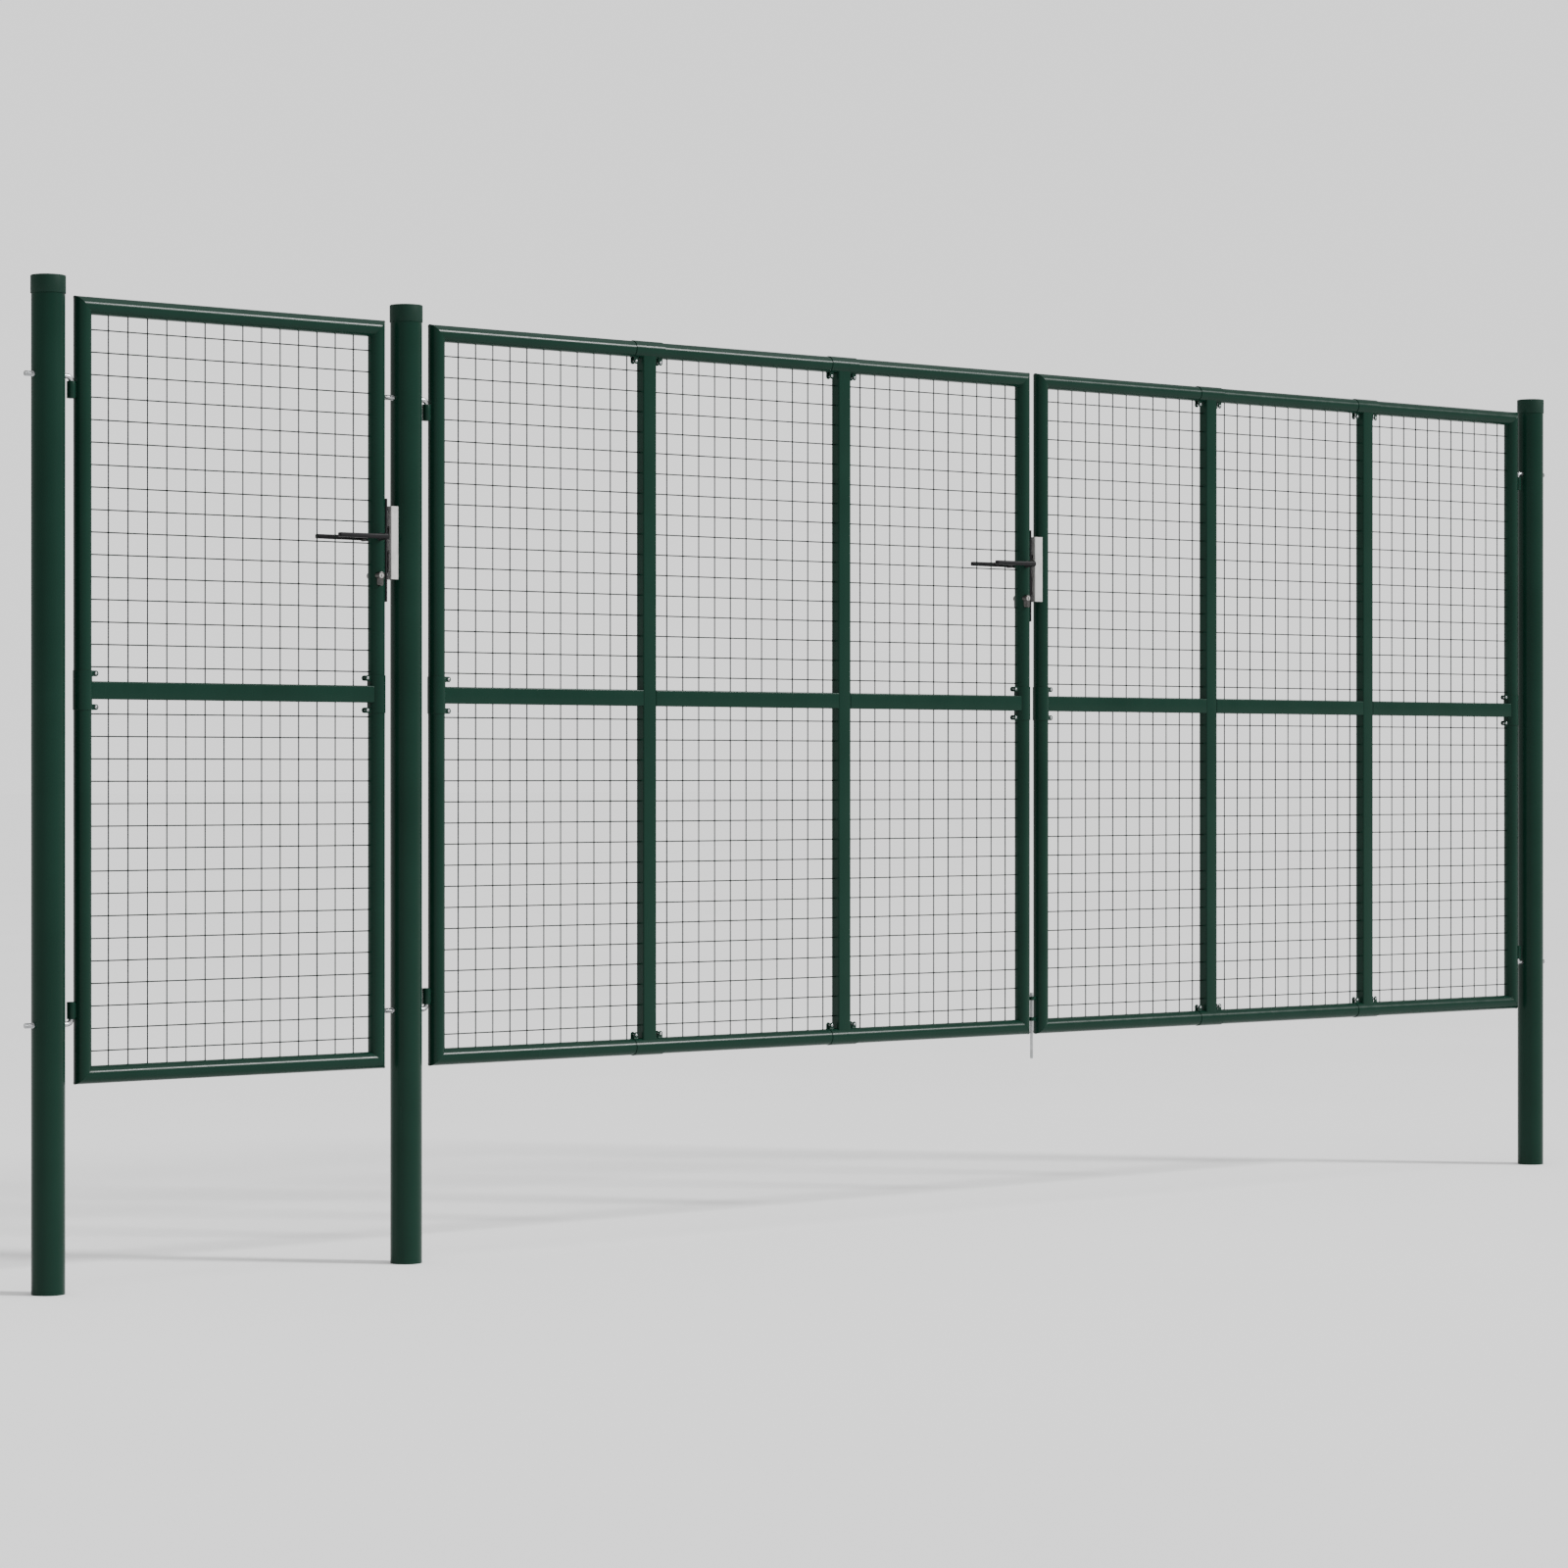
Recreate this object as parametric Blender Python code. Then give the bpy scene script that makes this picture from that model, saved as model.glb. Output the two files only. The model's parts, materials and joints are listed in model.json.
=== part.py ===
"""Gate set in round steel tube with welded mesh: a single leaf and a double gate on three posts.

Metres, +Z up. The origin is on the ground end of the posts, midway between the outer posts. +X runs
along the closed gate, and the single leaf is at the low end of X. Every leaf turns about a vertical
pin that stands beside its post.
"""

import math
from dataclasses import dataclass

import bmesh
import bpy
from mathutils import Matrix, Vector

# Posts and caps
POST_DIAMETER = 0.075
POST_WALL = 0.002
POST_ABOVE_LEAF = 0.035
CAP_TOP = 0.0047
CAP_WALL = 0.0012
CAP_DEPTH = 0.040
CAP_EDGE = 0.0015

# Leaves
LEAF_BOTTOM = 0.460
LEAF_HEIGHT = 1.750
SINGLE_WIDTH = 0.820
DOUBLE_LEAF_WIDTH = 1.910
FRAME_DIAMETER = 0.040
FRAME_WALL = 0.0015
HINGE_GAP = 0.0285
LOCK_GAP = 0.0260
MEETING_GAP = 0.0265

# Inner bars
BAR_WIDTH = 0.040
BAR_DEPTH = 0.030
BAR_WALL = 0.0015
BAR_CORNER = 0.003
BAYS = 3

# Saddle clamps that hold the ends of the inner bars
SADDLE_LENGTH = 0.086
SADDLE_SHEET = 0.0017
EAR_PITCH = 0.075
EAR_REACH = 0.0155
EAR_SPREAD = 0.0065

# Mesh infill
MESH_PITCH = 0.050
WIRE = 0.003

# Hinges
ROD_DIAMETER = 0.012
ROD_OVERHANG = 0.021
PIN_TO_POST = 0.020
BEND_RADIUS = 0.0115
KNUCKLE_DIAMETER = 0.020
KNUCKLE_LENGTH = 0.038
KNUCKLE_ABOVE_BOTTOM = 0.1646
KNUCKLE_BELOW_TOP = 0.2094
ROD_TO_KNUCKLE = 0.030
PIN_SHORT_OF_END = 0.002

# Locks, measured from the centre line of the lock stile and from the lever's height
LEVER_BELOW_TOP = 0.508
SPINDLE_SETBACK = 0.005
CYLINDER_BELOW_LEVER = 0.090
FOREND_WIDTH = 0.024
FOREND_PROUD = 0.003
FOREND_INSET = 0.0015
FOREND_ABOVE = 0.091
FOREND_BELOW = 0.1505
CASE_BACK = 0.016
CASE_THICKNESS = 0.016
CASE_MARGIN = 0.050
LEVER_LENGTH = 0.130
LEVER_BAR_HEIGHT = 0.0112
LEVER_BAR_DEPTH = 0.014
LEVER_STANDOFF = 0.0283
HUB_DIAMETER = 0.016
SPINDLE_DIAMETER = 0.009
CYLINDER_ROUND = 0.017
CYLINDER_STEM = 0.010
CYLINDER_HEIGHT = 0.033
CYLINDER_FRONT_STANDOUT = 0.010
CYLINDER_BACK_STANDOUT = 0.001
PLUG_DIAMETER = 0.012
KEYWAY = (0.0022, 0.0075, 0.004)
LATCH_ABOVE_LEVER = 0.0137
LATCH_SIZE = (0.018, 0.012, 0.020)
LATCH_PROUD = 0.0055
DEAD_BELOW_LEVER = 0.0557
DEAD_SIZE = (0.009, 0.036)
DEAD_POCKET_WALL = 0.0014
BOLT_PLAY = 0.0003
LATCH_TRAVEL = 0.0055

# Keeps
KEEP_HALF_WIDTH = 0.0175
KEEP_SHEET = 0.002
KEEP_DEPTH = 0.0163
KEEP_ABOVE = 0.0735
KEEP_BELOW = 0.0975
KEEP_LATCH_WINDOW = (0.018, 0.028)
KEEP_DEAD_WINDOW = (0.014, 0.050)
KEEP_SCREW = 0.006
KEEP_SCREW_INSET = 0.012

# Drop bolt, measured from the bottom of the leaf
DROP_DIAMETER = 0.008
DROP_LOW = -0.065
DROP_HIGH = 0.1095
DROP_PIN_HEIGHT = 0.1020
DROP_PIN_DIAMETER = 0.003
DROP_PIN_LENGTH = 0.014
GUIDE_HEIGHTS = (0.0397, 0.0945)
GUIDE_LENGTH = 0.0096
GUIDE_DIAMETER = 0.0146

# Fits and roundness
GAP = 0.0003
RUNNING = 0.0003
OVERLAP = 0.0015
POST_SIDES = 32
TUBE_SIDES = 24
ROD_SIDES = 12
BEND_STEPS = 4
CORNER_STEPS = 2

# Colour, roughness and metallic value of each finish
GREEN_PAINT = ((0.012, 0.034, 0.025, 1.0), 0.38, 0.0)
DARK_PLASTIC = ((0.012, 0.030, 0.023, 1.0), 0.45, 0.0)
ZINC = ((0.62, 0.63, 0.62, 1.0), 0.35, 1.0)
STAINLESS = ((0.55, 0.54, 0.53, 1.0), 0.30, 1.0)
NICKEL = ((0.70, 0.69, 0.66, 1.0), 0.22, 1.0)
BLACK_COAT = ((0.010, 0.010, 0.011, 1.0), 0.42, 0.0)

POST_RADIUS = POST_DIAMETER / 2
FRAME_RADIUS = FRAME_DIAMETER / 2
LEAF_TOP = LEAF_BOTTOM + LEAF_HEIGHT
POST_TUBE_LENGTH = LEAF_TOP + POST_ABOVE_LEAF
FOREND_SEAT = FRAME_RADIUS - FOREND_INSET
LEVER_OFFSET = FRAME_RADIUS + LEVER_STANDOFF
CYLINDER_ENDS = (-FRAME_RADIUS - CYLINDER_FRONT_STANDOUT, FRAME_RADIUS + CYLINDER_BACK_STANDOUT)
LEVER_Z = LEAF_TOP - LEVER_BELOW_TOP
SINGLE_PITCH = POST_DIAMETER + HINGE_GAP + SINGLE_WIDTH + LOCK_GAP
DOUBLE_PITCH = POST_DIAMETER + 2 * HINGE_GAP + 2 * DOUBLE_LEAF_WIDTH + MEETING_GAP
POST_X = (
    -(SINGLE_PITCH + DOUBLE_PITCH) / 2,
    (SINGLE_PITCH - DOUBLE_PITCH) / 2,
    (SINGLE_PITCH + DOUBLE_PITCH) / 2,
)


@dataclass(frozen=True)
class Leaf:
    """A leaf between x_low and x_high. reach is +1 if it extends to +X from its pin, or -1."""

    name: str
    post_x: float
    width: float
    reach: int
    bays: int

    @property
    def pin_x(self):
        return self.post_x + self.reach * (POST_RADIUS + PIN_TO_POST)

    @property
    def hinge_stile_x(self):
        return self.post_x + self.reach * (POST_RADIUS + HINGE_GAP + FRAME_RADIUS)

    @property
    def free_stile_x(self):
        return self.hinge_stile_x + self.reach * (self.width - FRAME_DIAMETER)

    @property
    def stiles_x(self):
        return sorted((self.hinge_stile_x, self.free_stile_x))

    @property
    def rails_z(self):
        return LEAF_BOTTOM + FRAME_RADIUS, LEAF_TOP - FRAME_RADIUS

    @property
    def mullions_x(self):
        low, high = self.stiles_x
        inner = high - low - FRAME_DIAMETER
        bay = (inner - (self.bays - 1) * BAR_WIDTH) / self.bays
        first = low + FRAME_RADIUS + bay + BAR_WIDTH / 2
        return [first + i * (bay + BAR_WIDTH) for i in range(self.bays - 1)]


SINGLE = Leaf("single", POST_X[0], SINGLE_WIDTH, 1, 1)
LEAF_A = Leaf("leaf_a", POST_X[1], DOUBLE_LEAF_WIDTH, 1, BAYS)
LEAF_B = Leaf("leaf_b", POST_X[2], DOUBLE_LEAF_WIDTH, -1, BAYS)


def clear_scene():
    for obj in list(bpy.data.objects):
        bpy.data.objects.remove(obj)


def circle(radius, sides, turn=0.0):
    steps = (turn + 2 * math.pi * i / sides for i in range(sides))
    return [(radius * math.cos(t), radius * math.sin(t)) for t in steps]


def rounded_rectangle(width, depth, corner, steps=CORNER_STEPS):
    """Corner points counter-clockwise, with each corner as an arc of a few steps."""
    points = []
    for quarter, (sx, sy) in enumerate(((1, 1), (-1, 1), (-1, -1), (1, -1))):
        cx, cy = sx * (width / 2 - corner), sy * (depth / 2 - corner)
        for i in range(steps + 1):
            t = math.pi / 2 * (quarter + i / steps)
            points.append((cx + corner * math.cos(t), cy + corner * math.sin(t)))
    return points


def rectangle(width, depth):
    return [(width / 2, depth / 2), (-width / 2, depth / 2), (-width / 2, -depth / 2), (width / 2, -depth / 2)]


def key_cylinder_outline(grow=0.0):
    """Round head with a narrower stem below it, which ends in a half round."""
    head = CYLINDER_ROUND / 2 + grow
    stem = CYLINDER_STEM / 2 + grow
    stem_centre = CYLINDER_STEM / 2 + CYLINDER_ROUND / 2 - CYLINDER_HEIGHT
    start = -math.pi / 2 + math.asin(stem / head)
    sweep = 2 * math.pi - 2 * math.asin(stem / head)
    points = []
    for i in range(15):
        t = start + sweep * i / 14
        points.append((head * math.cos(t), head * math.sin(t)))
    for i in range(7):
        t = math.pi + math.pi * i / 6
        points.append((stem * math.cos(t), stem_centre + stem * math.sin(t)))
    return points


def spot(along, centre, a, b, distance):
    """A point of an outline placed in space. a is X for bars along Z or Y, and Z for bars along X."""
    if along == "Z":
        return centre[0] + a, centre[1] + b, distance
    if along == "Y":
        return centre[0] + a, distance, centre[1] + b
    return distance, centre[1] + b, centre[0] + a


def mesh_object(name, bm):
    bmesh.ops.recalc_face_normals(bm, faces=bm.faces)
    mesh = bpy.data.meshes.new(name)
    bm.to_mesh(mesh)
    bm.free()
    obj = bpy.data.objects.new(name, mesh)
    bpy.context.scene.collection.objects.link(obj)
    return obj


def bar(name, outline, along, centre, low, high, inner=None, slopes=(0.0, 0.0)):
    """An outline drawn out from low to high. With inner it is a tube. slopes mitre its two ends."""
    bm = bmesh.new()
    rings = {}
    for key, points in (("out", outline), ("in", inner or [])):
        for end, distance, slope in ((0, low, slopes[0]), (1, high, slopes[1])):
            rings[key, end] = [
                bm.verts.new(spot(along, centre, a, b, distance + slope * a)) for a, b in points
            ]
    for key in ("out", "in"):
        first, second = rings[key, 0], rings[key, 1]
        for i in range(len(first)):
            bm.faces.new((first[i - 1], first[i], second[i], second[i - 1]))
    for end in (0, 1):
        outer, hole = rings["out", end], rings["in", end]
        if not hole:
            bm.faces.new(outer)
            continue
        for i in range(len(outer)):
            bm.faces.new((outer[i - 1], outer[i], hole[i], hole[i - 1]))
    return mesh_object(name, bm)


def block(name, low, high):
    size = [b - a for a, b in zip(low, high)]
    centre = [(a + b) / 2 for a, b in zip(low, high)]
    return bar(name, rectangle(size[0], size[1]), "Z", centre[:2], low[2], high[2])


def turned(name, profile, sides, along, centre):
    """A profile of (radius, distance) points turned about an axis. Radius 0 closes it at a pole."""
    bm = bmesh.new()
    rings = []
    for radius, distance in profile:
        if radius == 0:
            rings.append([bm.verts.new(spot(along, centre, 0, 0, distance))] * sides)
            continue
        ring = [bm.verts.new(spot(along, centre, a, b, distance)) for a, b in circle(radius, sides)]
        rings.append(ring)
    closed = profile[0][0] > 0
    pairs = zip(rings, rings[1:] + rings[:1]) if closed else zip(rings, rings[1:])
    for first, second in pairs:
        for i in range(sides):
            corners = (first[i - 1], first[i], second[i], second[i - 1])
            bm.faces.new(tuple(dict.fromkeys(corners)))
    return mesh_object(name, bm)


def bent_rod(name, path, radius, sides):
    """A round rod along a path in the XZ plane, given as (x, z, heading) with heading in radians."""
    bm = bmesh.new()
    rings = []
    for x, z, heading in path:
        side = Vector((-math.sin(heading), 0, math.cos(heading)))
        ring = []
        for a, b in circle(radius, sides):
            ring.append(bm.verts.new(Vector((x, 0, z)) + a * side + Vector((0, b, 0))))
        rings.append(ring)
    for first, second in zip(rings, rings[1:]):
        for i in range(sides):
            bm.faces.new((first[i - 1], first[i], second[i], second[i - 1]))
    bm.faces.new(rings[0])
    bm.faces.new(rings[-1])
    return mesh_object(name, bm)


def combine(target, tools, operation):
    """Joins the tools to the target or cuts them from it, and removes them."""
    for tool in tools:
        modifier = target.modifiers.new(operation.title(), "BOOLEAN")
        modifier.operation = operation
        modifier.solver = "EXACT"
        modifier.object = tool
        with bpy.context.temp_override(object=target, active_object=target):
            bpy.ops.object.modifier_apply(modifier=modifier.name)
        bpy.data.objects.remove(tool)
    return target


def join(target, *tools):
    return combine(target, tools, "UNION")


def cut(target, *tools):
    return combine(target, tools, "DIFFERENCE")


def finish(obj, look, pivot=None):
    """Gives a piece its own material and smooth rounds, and hangs it on the empty of its joint."""
    colour, roughness, metallic = look
    material = bpy.data.materials.new(obj.name)
    material.use_nodes = True
    shader = material.node_tree.nodes["Principled BSDF"]
    shader.inputs["Base Color"].default_value = colour
    shader.inputs["Roughness"].default_value = roughness
    shader.inputs["Metallic"].default_value = metallic
    obj.data.materials.clear()
    obj.data.materials.append(material)
    obj.data.shade_smooth()
    obj.data.set_sharp_from_angle(angle=math.radians(32))
    if pivot is not None:
        origin = place_of(pivot)
        obj.data.transform(Matrix.Translation(-origin))
        obj.parent = pivot
    return obj


def place_of(empty):
    parent = place_of(empty.parent) if empty.parent else Vector((0, 0, 0))
    return parent + empty.location


def pivot(name, place, parent=None):
    """An empty on a joint's axis, hung on the empty of the body that carries it."""
    empty = bpy.data.objects.new(name, None)
    bpy.context.scene.collection.objects.link(empty)
    empty.parent = parent
    carried = place_of(parent) if parent else Vector((0, 0, 0))
    empty.location = Vector(place) - carried
    return empty


def hinge_heights():
    """Height of each knuckle's centre, and the side of it that its rod is on."""
    return {"lower": (LEAF_BOTTOM + KNUCKLE_ABOVE_BOTTOM, -1), "upper": (LEAF_TOP - KNUCKLE_BELOW_TOP, 1)}


def make_post(name, x):
    post = bar(
        f"post_{name}",
        circle(POST_RADIUS, POST_SIDES),
        "Z",
        (x, 0),
        0,
        POST_TUBE_LENGTH,
        inner=circle(POST_RADIUS - POST_WALL, POST_SIDES),
    )
    for height, side in hinge_heights().values():
        drill = bar(
            "drill",
            circle(ROD_DIAMETER / 2 + GAP, ROD_SIDES, turn=math.pi / ROD_SIDES),
            "X",
            (height + side * ROD_TO_KNUCKLE, 0),
            x - POST_DIAMETER,
            x + POST_DIAMETER,
        )
        cut(post, drill)
    finish(post, GREEN_PAINT)


def make_cap(name, x):
    inner = POST_RADIUS + GAP
    outer = inner + CAP_WALL
    seat = POST_TUBE_LENGTH + GAP
    top = seat + CAP_TOP
    profile = [
        (0, top),
        (outer - CAP_EDGE, top),
        (outer, top - CAP_EDGE),
        (outer, top - CAP_DEPTH),
        (inner, top - CAP_DEPTH),
        (inner, seat),
        (0, seat),
    ]
    cap = turned(f"post_cap_{name}", profile, POST_SIDES, "Z", (x, 0))
    finish(cap, DARK_PLASTIC)


def make_hinge_rods(leaf):
    """Rods through the post. The upper one bends down into its knuckle, and the lower one bends up."""
    for position, (knuckle_z, side) in hinge_heights().items():
        rod_z = knuckle_z + side * ROD_TO_KNUCKLE
        outer_x = leaf.post_x - leaf.reach * (POST_RADIUS + ROD_OVERHANG)
        pin_end = knuckle_z - side * (KNUCKLE_LENGTH / 2 - PIN_SHORT_OF_END)
        heading = 0.0 if leaf.reach > 0 else math.pi
        path = [(outer_x, rod_z, heading)]
        for step in range(BEND_STEPS + 1):
            turn = math.pi / 2 * step / BEND_STEPS
            x = leaf.pin_x - leaf.reach * BEND_RADIUS * (1 - math.sin(turn))
            z = rod_z - side * BEND_RADIUS * (1 - math.cos(turn))
            path.append((x, z, heading - side * leaf.reach * turn))
        last_heading = path[-1][2]
        path.append((leaf.pin_x, pin_end, last_heading))
        rod = bent_rod(f"hinge_rod_{leaf.name}_{position}", path, ROD_DIAMETER / 2, ROD_SIDES)
        finish(rod, ZINC)


def make_keep(name, stile_x, stile_radius, sides, body_pivot=None):
    """A bent channel on the near side of a post or stile, open towards it, with two windows."""
    front_x = stile_x - stile_radius - KEEP_DEPTH
    low, high = LEVER_Z - KEEP_BELOW, LEVER_Z + KEEP_ABOVE
    half = KEEP_HALF_WIDTH
    keep = block(name, (front_x, -half, low), (stile_x, half, high))
    hollow = block(
        "hollow",
        (front_x + KEEP_SHEET, -half + KEEP_SHEET, low - OVERLAP),
        (stile_x + OVERLAP, half - KEEP_SHEET, high + OVERLAP),
    )
    seat = bar("seat", circle(stile_radius + GAP, sides), "Z", (stile_x, 0), low - OVERLAP, high + OVERLAP)
    cut(keep, hollow, seat)
    windows = (
        (LEVER_Z + LATCH_ABOVE_LEVER, KEEP_LATCH_WINDOW),
        (LEVER_Z - DEAD_BELOW_LEVER, KEEP_DEAD_WINDOW),
    )
    for centre_z, (width, height) in windows:
        window = block(
            "window",
            (front_x - OVERLAP, -width / 2, centre_z - height / 2),
            (front_x + KEEP_SHEET + OVERLAP, width / 2, centre_z + height / 2),
        )
        cut(keep, window)
    for screw_z in (high - KEEP_SCREW_INSET, low + KEEP_SCREW_INSET):
        drill = bar(
            "drill",
            circle(KEEP_SCREW / 2, ROD_SIDES, turn=math.pi / ROD_SIDES),
            "X",
            (screw_z, 0),
            front_x - OVERLAP,
            front_x + KEEP_SHEET + OVERLAP,
        )
        cut(keep, drill)
    finish(keep, STAINLESS, body_pivot)


def make_frame(leaf):
    """Two stiles and two rails of round tube with mitred ends. Returns them by name, unfinished."""
    outline = circle(FRAME_RADIUS, TUBE_SIDES)
    inner = circle(FRAME_RADIUS - FRAME_WALL, TUBE_SIDES)
    left, right = leaf.stiles_x
    bottom, top = leaf.rails_z

    def stile(name, x, slope):
        return bar(name, outline, "Z", (x, 0), bottom + GAP, top - GAP, inner, (slope, -slope))

    def rail(name, z, slope):
        return bar(name, outline, "X", (z, 0), left + GAP, right - GAP, inner, (slope, -slope))

    stiles = {left: stile("left", left, 1), right: stile("right", right, -1)}
    tubes = {
        "hinge_stile": stiles[leaf.hinge_stile_x],
        "free_stile": stiles[leaf.free_stile_x],
        "rail_bottom": rail("bottom", bottom, 1),
        "rail_top": rail("top", top, -1),
    }
    for name, tube in tubes.items():
        tube.name = f"{leaf.name}_{name}"
    for knuckle_z, _ in hinge_heights().values():
        weld_knuckle(tubes["hinge_stile"], leaf, knuckle_z)
    return tubes


def weld_knuckle(stile, leaf, knuckle_z):
    """A short barrel welded to the hinge stile. Its bore clears the pin."""
    low, high = knuckle_z - KNUCKLE_LENGTH / 2, knuckle_z + KNUCKLE_LENGTH / 2
    barrel = bar("barrel", circle(KNUCKLE_DIAMETER / 2, TUBE_SIDES), "Z", (leaf.pin_x, 0), low, high)
    inside = bar("inside", circle(FRAME_RADIUS - FRAME_WALL / 2, TUBE_SIDES), "Z",
                 (leaf.hinge_stile_x, 0), low - OVERLAP, high + OVERLAP)
    cut(barrel, inside)
    bore = bar("bore", circle(ROD_DIAMETER / 2 + RUNNING, ROD_SIDES), "Z", (leaf.pin_x, 0),
               low - OVERLAP, high + OVERLAP)
    cut(join(stile, barrel), bore)


def saddle(along, tube_centre, bar_centre, towards):
    """A sheet sleeve round a frame tube, with a pair of ears at each end. towards is the bar's side.

    The sleeve is drawn out along the frame tube, and the ears stand out towards the bar.
    """
    inner = FRAME_RADIUS + GAP
    outer = inner + SADDLE_SHEET
    edge = math.asin(EAR_SPREAD / outer)
    facing = 0.0 if towards > 0 else math.pi
    steps = TUBE_SIDES - 4
    sweep = [facing + edge + (2 * math.pi - 2 * edge) * i / steps for i in range(steps + 1)]
    outline = [(outer * math.cos(t), outer * math.sin(t)) for t in sweep]
    outline += [(inner * math.cos(t), inner * math.sin(t)) for t in reversed(sweep)]
    low, high = bar_centre - SADDLE_LENGTH / 2, bar_centre + SADDLE_LENGTH / 2
    sleeve = bar("sleeve", outline, along, (tube_centre, 0), low, high)
    ear_width = SADDLE_LENGTH - EAR_PITCH
    root = math.sqrt(inner**2 - EAR_SPREAD**2) + SADDLE_SHEET / 2
    ears = []
    for end in (-1, 1):
        middle = bar_centre + end * EAR_PITCH / 2
        for face in (-1, 1):
            shape = rectangle(FRAME_RADIUS + EAR_REACH - root, SADDLE_SHEET)
            centre = (FRAME_RADIUS + EAR_REACH + root) / 2 * towards
            offset = face * (EAR_SPREAD - SADDLE_SHEET / 2)
            ears.append(bar("ear", shape, along, (tube_centre + centre, offset),
                            middle - ear_width / 2, middle + ear_width / 2))
    return join(sleeve, *ears)


def inner_bar(name, along, centre, low_tube, high_tube, low_saddle=True, high_saddle=True):
    """A rectangular tube between two frame tubes, coped to them, with a saddle at each held end."""
    outer = rounded_rectangle(BAR_WIDTH, BAR_DEPTH, BAR_CORNER)
    inside = rounded_rectangle(
        BAR_WIDTH - 2 * BAR_WALL, BAR_DEPTH - 2 * BAR_WALL, BAR_CORNER - BAR_WALL
    )
    across = "X" if along == "Z" else "Z"
    rail = bar(name, outer, along, (centre, 0), low_tube, high_tube, inside)
    for tube, towards in ((low_tube, 1), (high_tube, -1)):
        cope = bar("cope", circle(FRAME_RADIUS + GAP + SADDLE_SHEET / 2, TUBE_SIDES), across,
                   (tube, 0), centre - BAR_WIDTH, centre + BAR_WIDTH)
        cut(rail, cope)
        join(rail, saddle(across, tube, centre, towards))
    return rail


def make_inner_bars(leaf, leaf_pivot):
    """The mid rail and the mullions. Where they cross, each gives up half of its depth."""
    left, right = leaf.stiles_x
    bottom, top = leaf.rails_z
    middle = (bottom + top) / 2
    half = BAR_WIDTH / 2 + GAP
    mid_rail = inner_bar(f"{leaf.name}_mid_rail", "X", middle, left, right)
    for number, x in enumerate(leaf.mullions_x, start=1):
        mullion = inner_bar(f"{leaf.name}_mullion_{number}", "Z", x, bottom, top)
        back = block("back", (x - BAR_WIDTH, 0, middle - half), (x + BAR_WIDTH, BAR_DEPTH, middle + half))
        front = block("front", (x - half, -BAR_DEPTH, middle - BAR_WIDTH), (x + half, GAP, middle + BAR_WIDTH))
        cut(mullion, back)
        cut(mid_rail, front)
        finish(mullion, GREEN_PAINT, leaf_pivot)
    finish(mid_rail, GREEN_PAINT, leaf_pivot)


def wire_places(low, high, pitch):
    """Wires at the mesh pitch, as many as fit, centred between two edges."""
    cells = int((high - low - pitch) / pitch)
    first = (low + high - cells * pitch) / 2
    return [first + i * pitch for i in range(cells + 1)]


def lattice(name, x_span, z_span, wires_x, wires_z):
    """Square wires in one plane, welded where they cross, from edge to edge of the bay."""
    half = WIRE / 2
    columns = [x_span[0]] + [x + s * half for x in wires_x for s in (-1, 1)] + [x_span[1]]
    rows = [z_span[0]] + [z + s * half for z in wires_z for s in (-1, 1)] + [z_span[1]]

    def filled(i, j):
        inside = 0 <= i < len(columns) - 1 and 0 <= j < len(rows) - 1
        return inside and (i % 2 == 1 or j % 2 == 1)

    bm = bmesh.new()
    corners = {}

    def corner(i, j, side):
        if (i, j, side) not in corners:
            corners[i, j, side] = bm.verts.new((columns[i], side * half, rows[j]))
        return corners[i, j, side]

    for i in range(len(columns) - 1):
        for j in range(len(rows) - 1):
            if not filled(i, j):
                continue
            ring = ((i, j), (i + 1, j), (i + 1, j + 1), (i, j + 1))
            beyond = ((i, j - 1), (i + 1, j), (i, j + 1), (i - 1, j))
            for side in (-1, 1):
                bm.faces.new([corner(a, b, side) for a, b in ring])
            for k, neighbour in enumerate(beyond):
                if filled(*neighbour):
                    continue
                start, end = ring[k], ring[(k + 1) % 4]
                bm.faces.new((corner(*start, -1), corner(*end, -1), corner(*end, 1), corner(*start, 1)))
    return mesh_object(name, bm)


def make_mesh_panels(leaf, leaf_pivot):
    """One panel in each bay above and below the mid rail.

    These solids hold every second upright wire and the first and last cross wires.
    """
    left, right = leaf.stiles_x
    bottom, top = leaf.rails_z
    middle = (bottom + top) / 2
    edges_x = [left + FRAME_RADIUS]
    for x in leaf.mullions_x:
        edges_x += [x - BAR_WIDTH / 2, x + BAR_WIDTH / 2]
    edges_x.append(right - FRAME_RADIUS)
    storeys = {
        "lower": (bottom + FRAME_RADIUS, middle - BAR_WIDTH / 2),
        "upper": (middle + BAR_WIDTH / 2, top - FRAME_RADIUS),
    }
    for bay in range(leaf.bays):
        low_x, high_x = edges_x[2 * bay], edges_x[2 * bay + 1]
        wires_x = wire_places(low_x, high_x, MESH_PITCH)
        half_way = (len(wires_x) + 1) // 2
        kept_x = sorted({*wires_x[:half_way:2], *wires_x[::-1][:half_way:2]})
        for storey, (low_z, high_z) in storeys.items():
            wires_z = wire_places(low_z, high_z, MESH_PITCH)
            suffix = f"_{bay + 1}" if leaf.bays > 1 else ""
            panel = lattice(
                f"{leaf.name}_mesh_{storey}{suffix}",
                (low_x + GAP, high_x - GAP),
                (low_z + GAP, high_z - GAP),
                kept_x,
                [wires_z[0], wires_z[-1]],
            )
            finish(panel, GREEN_PAINT, leaf_pivot)


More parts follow.
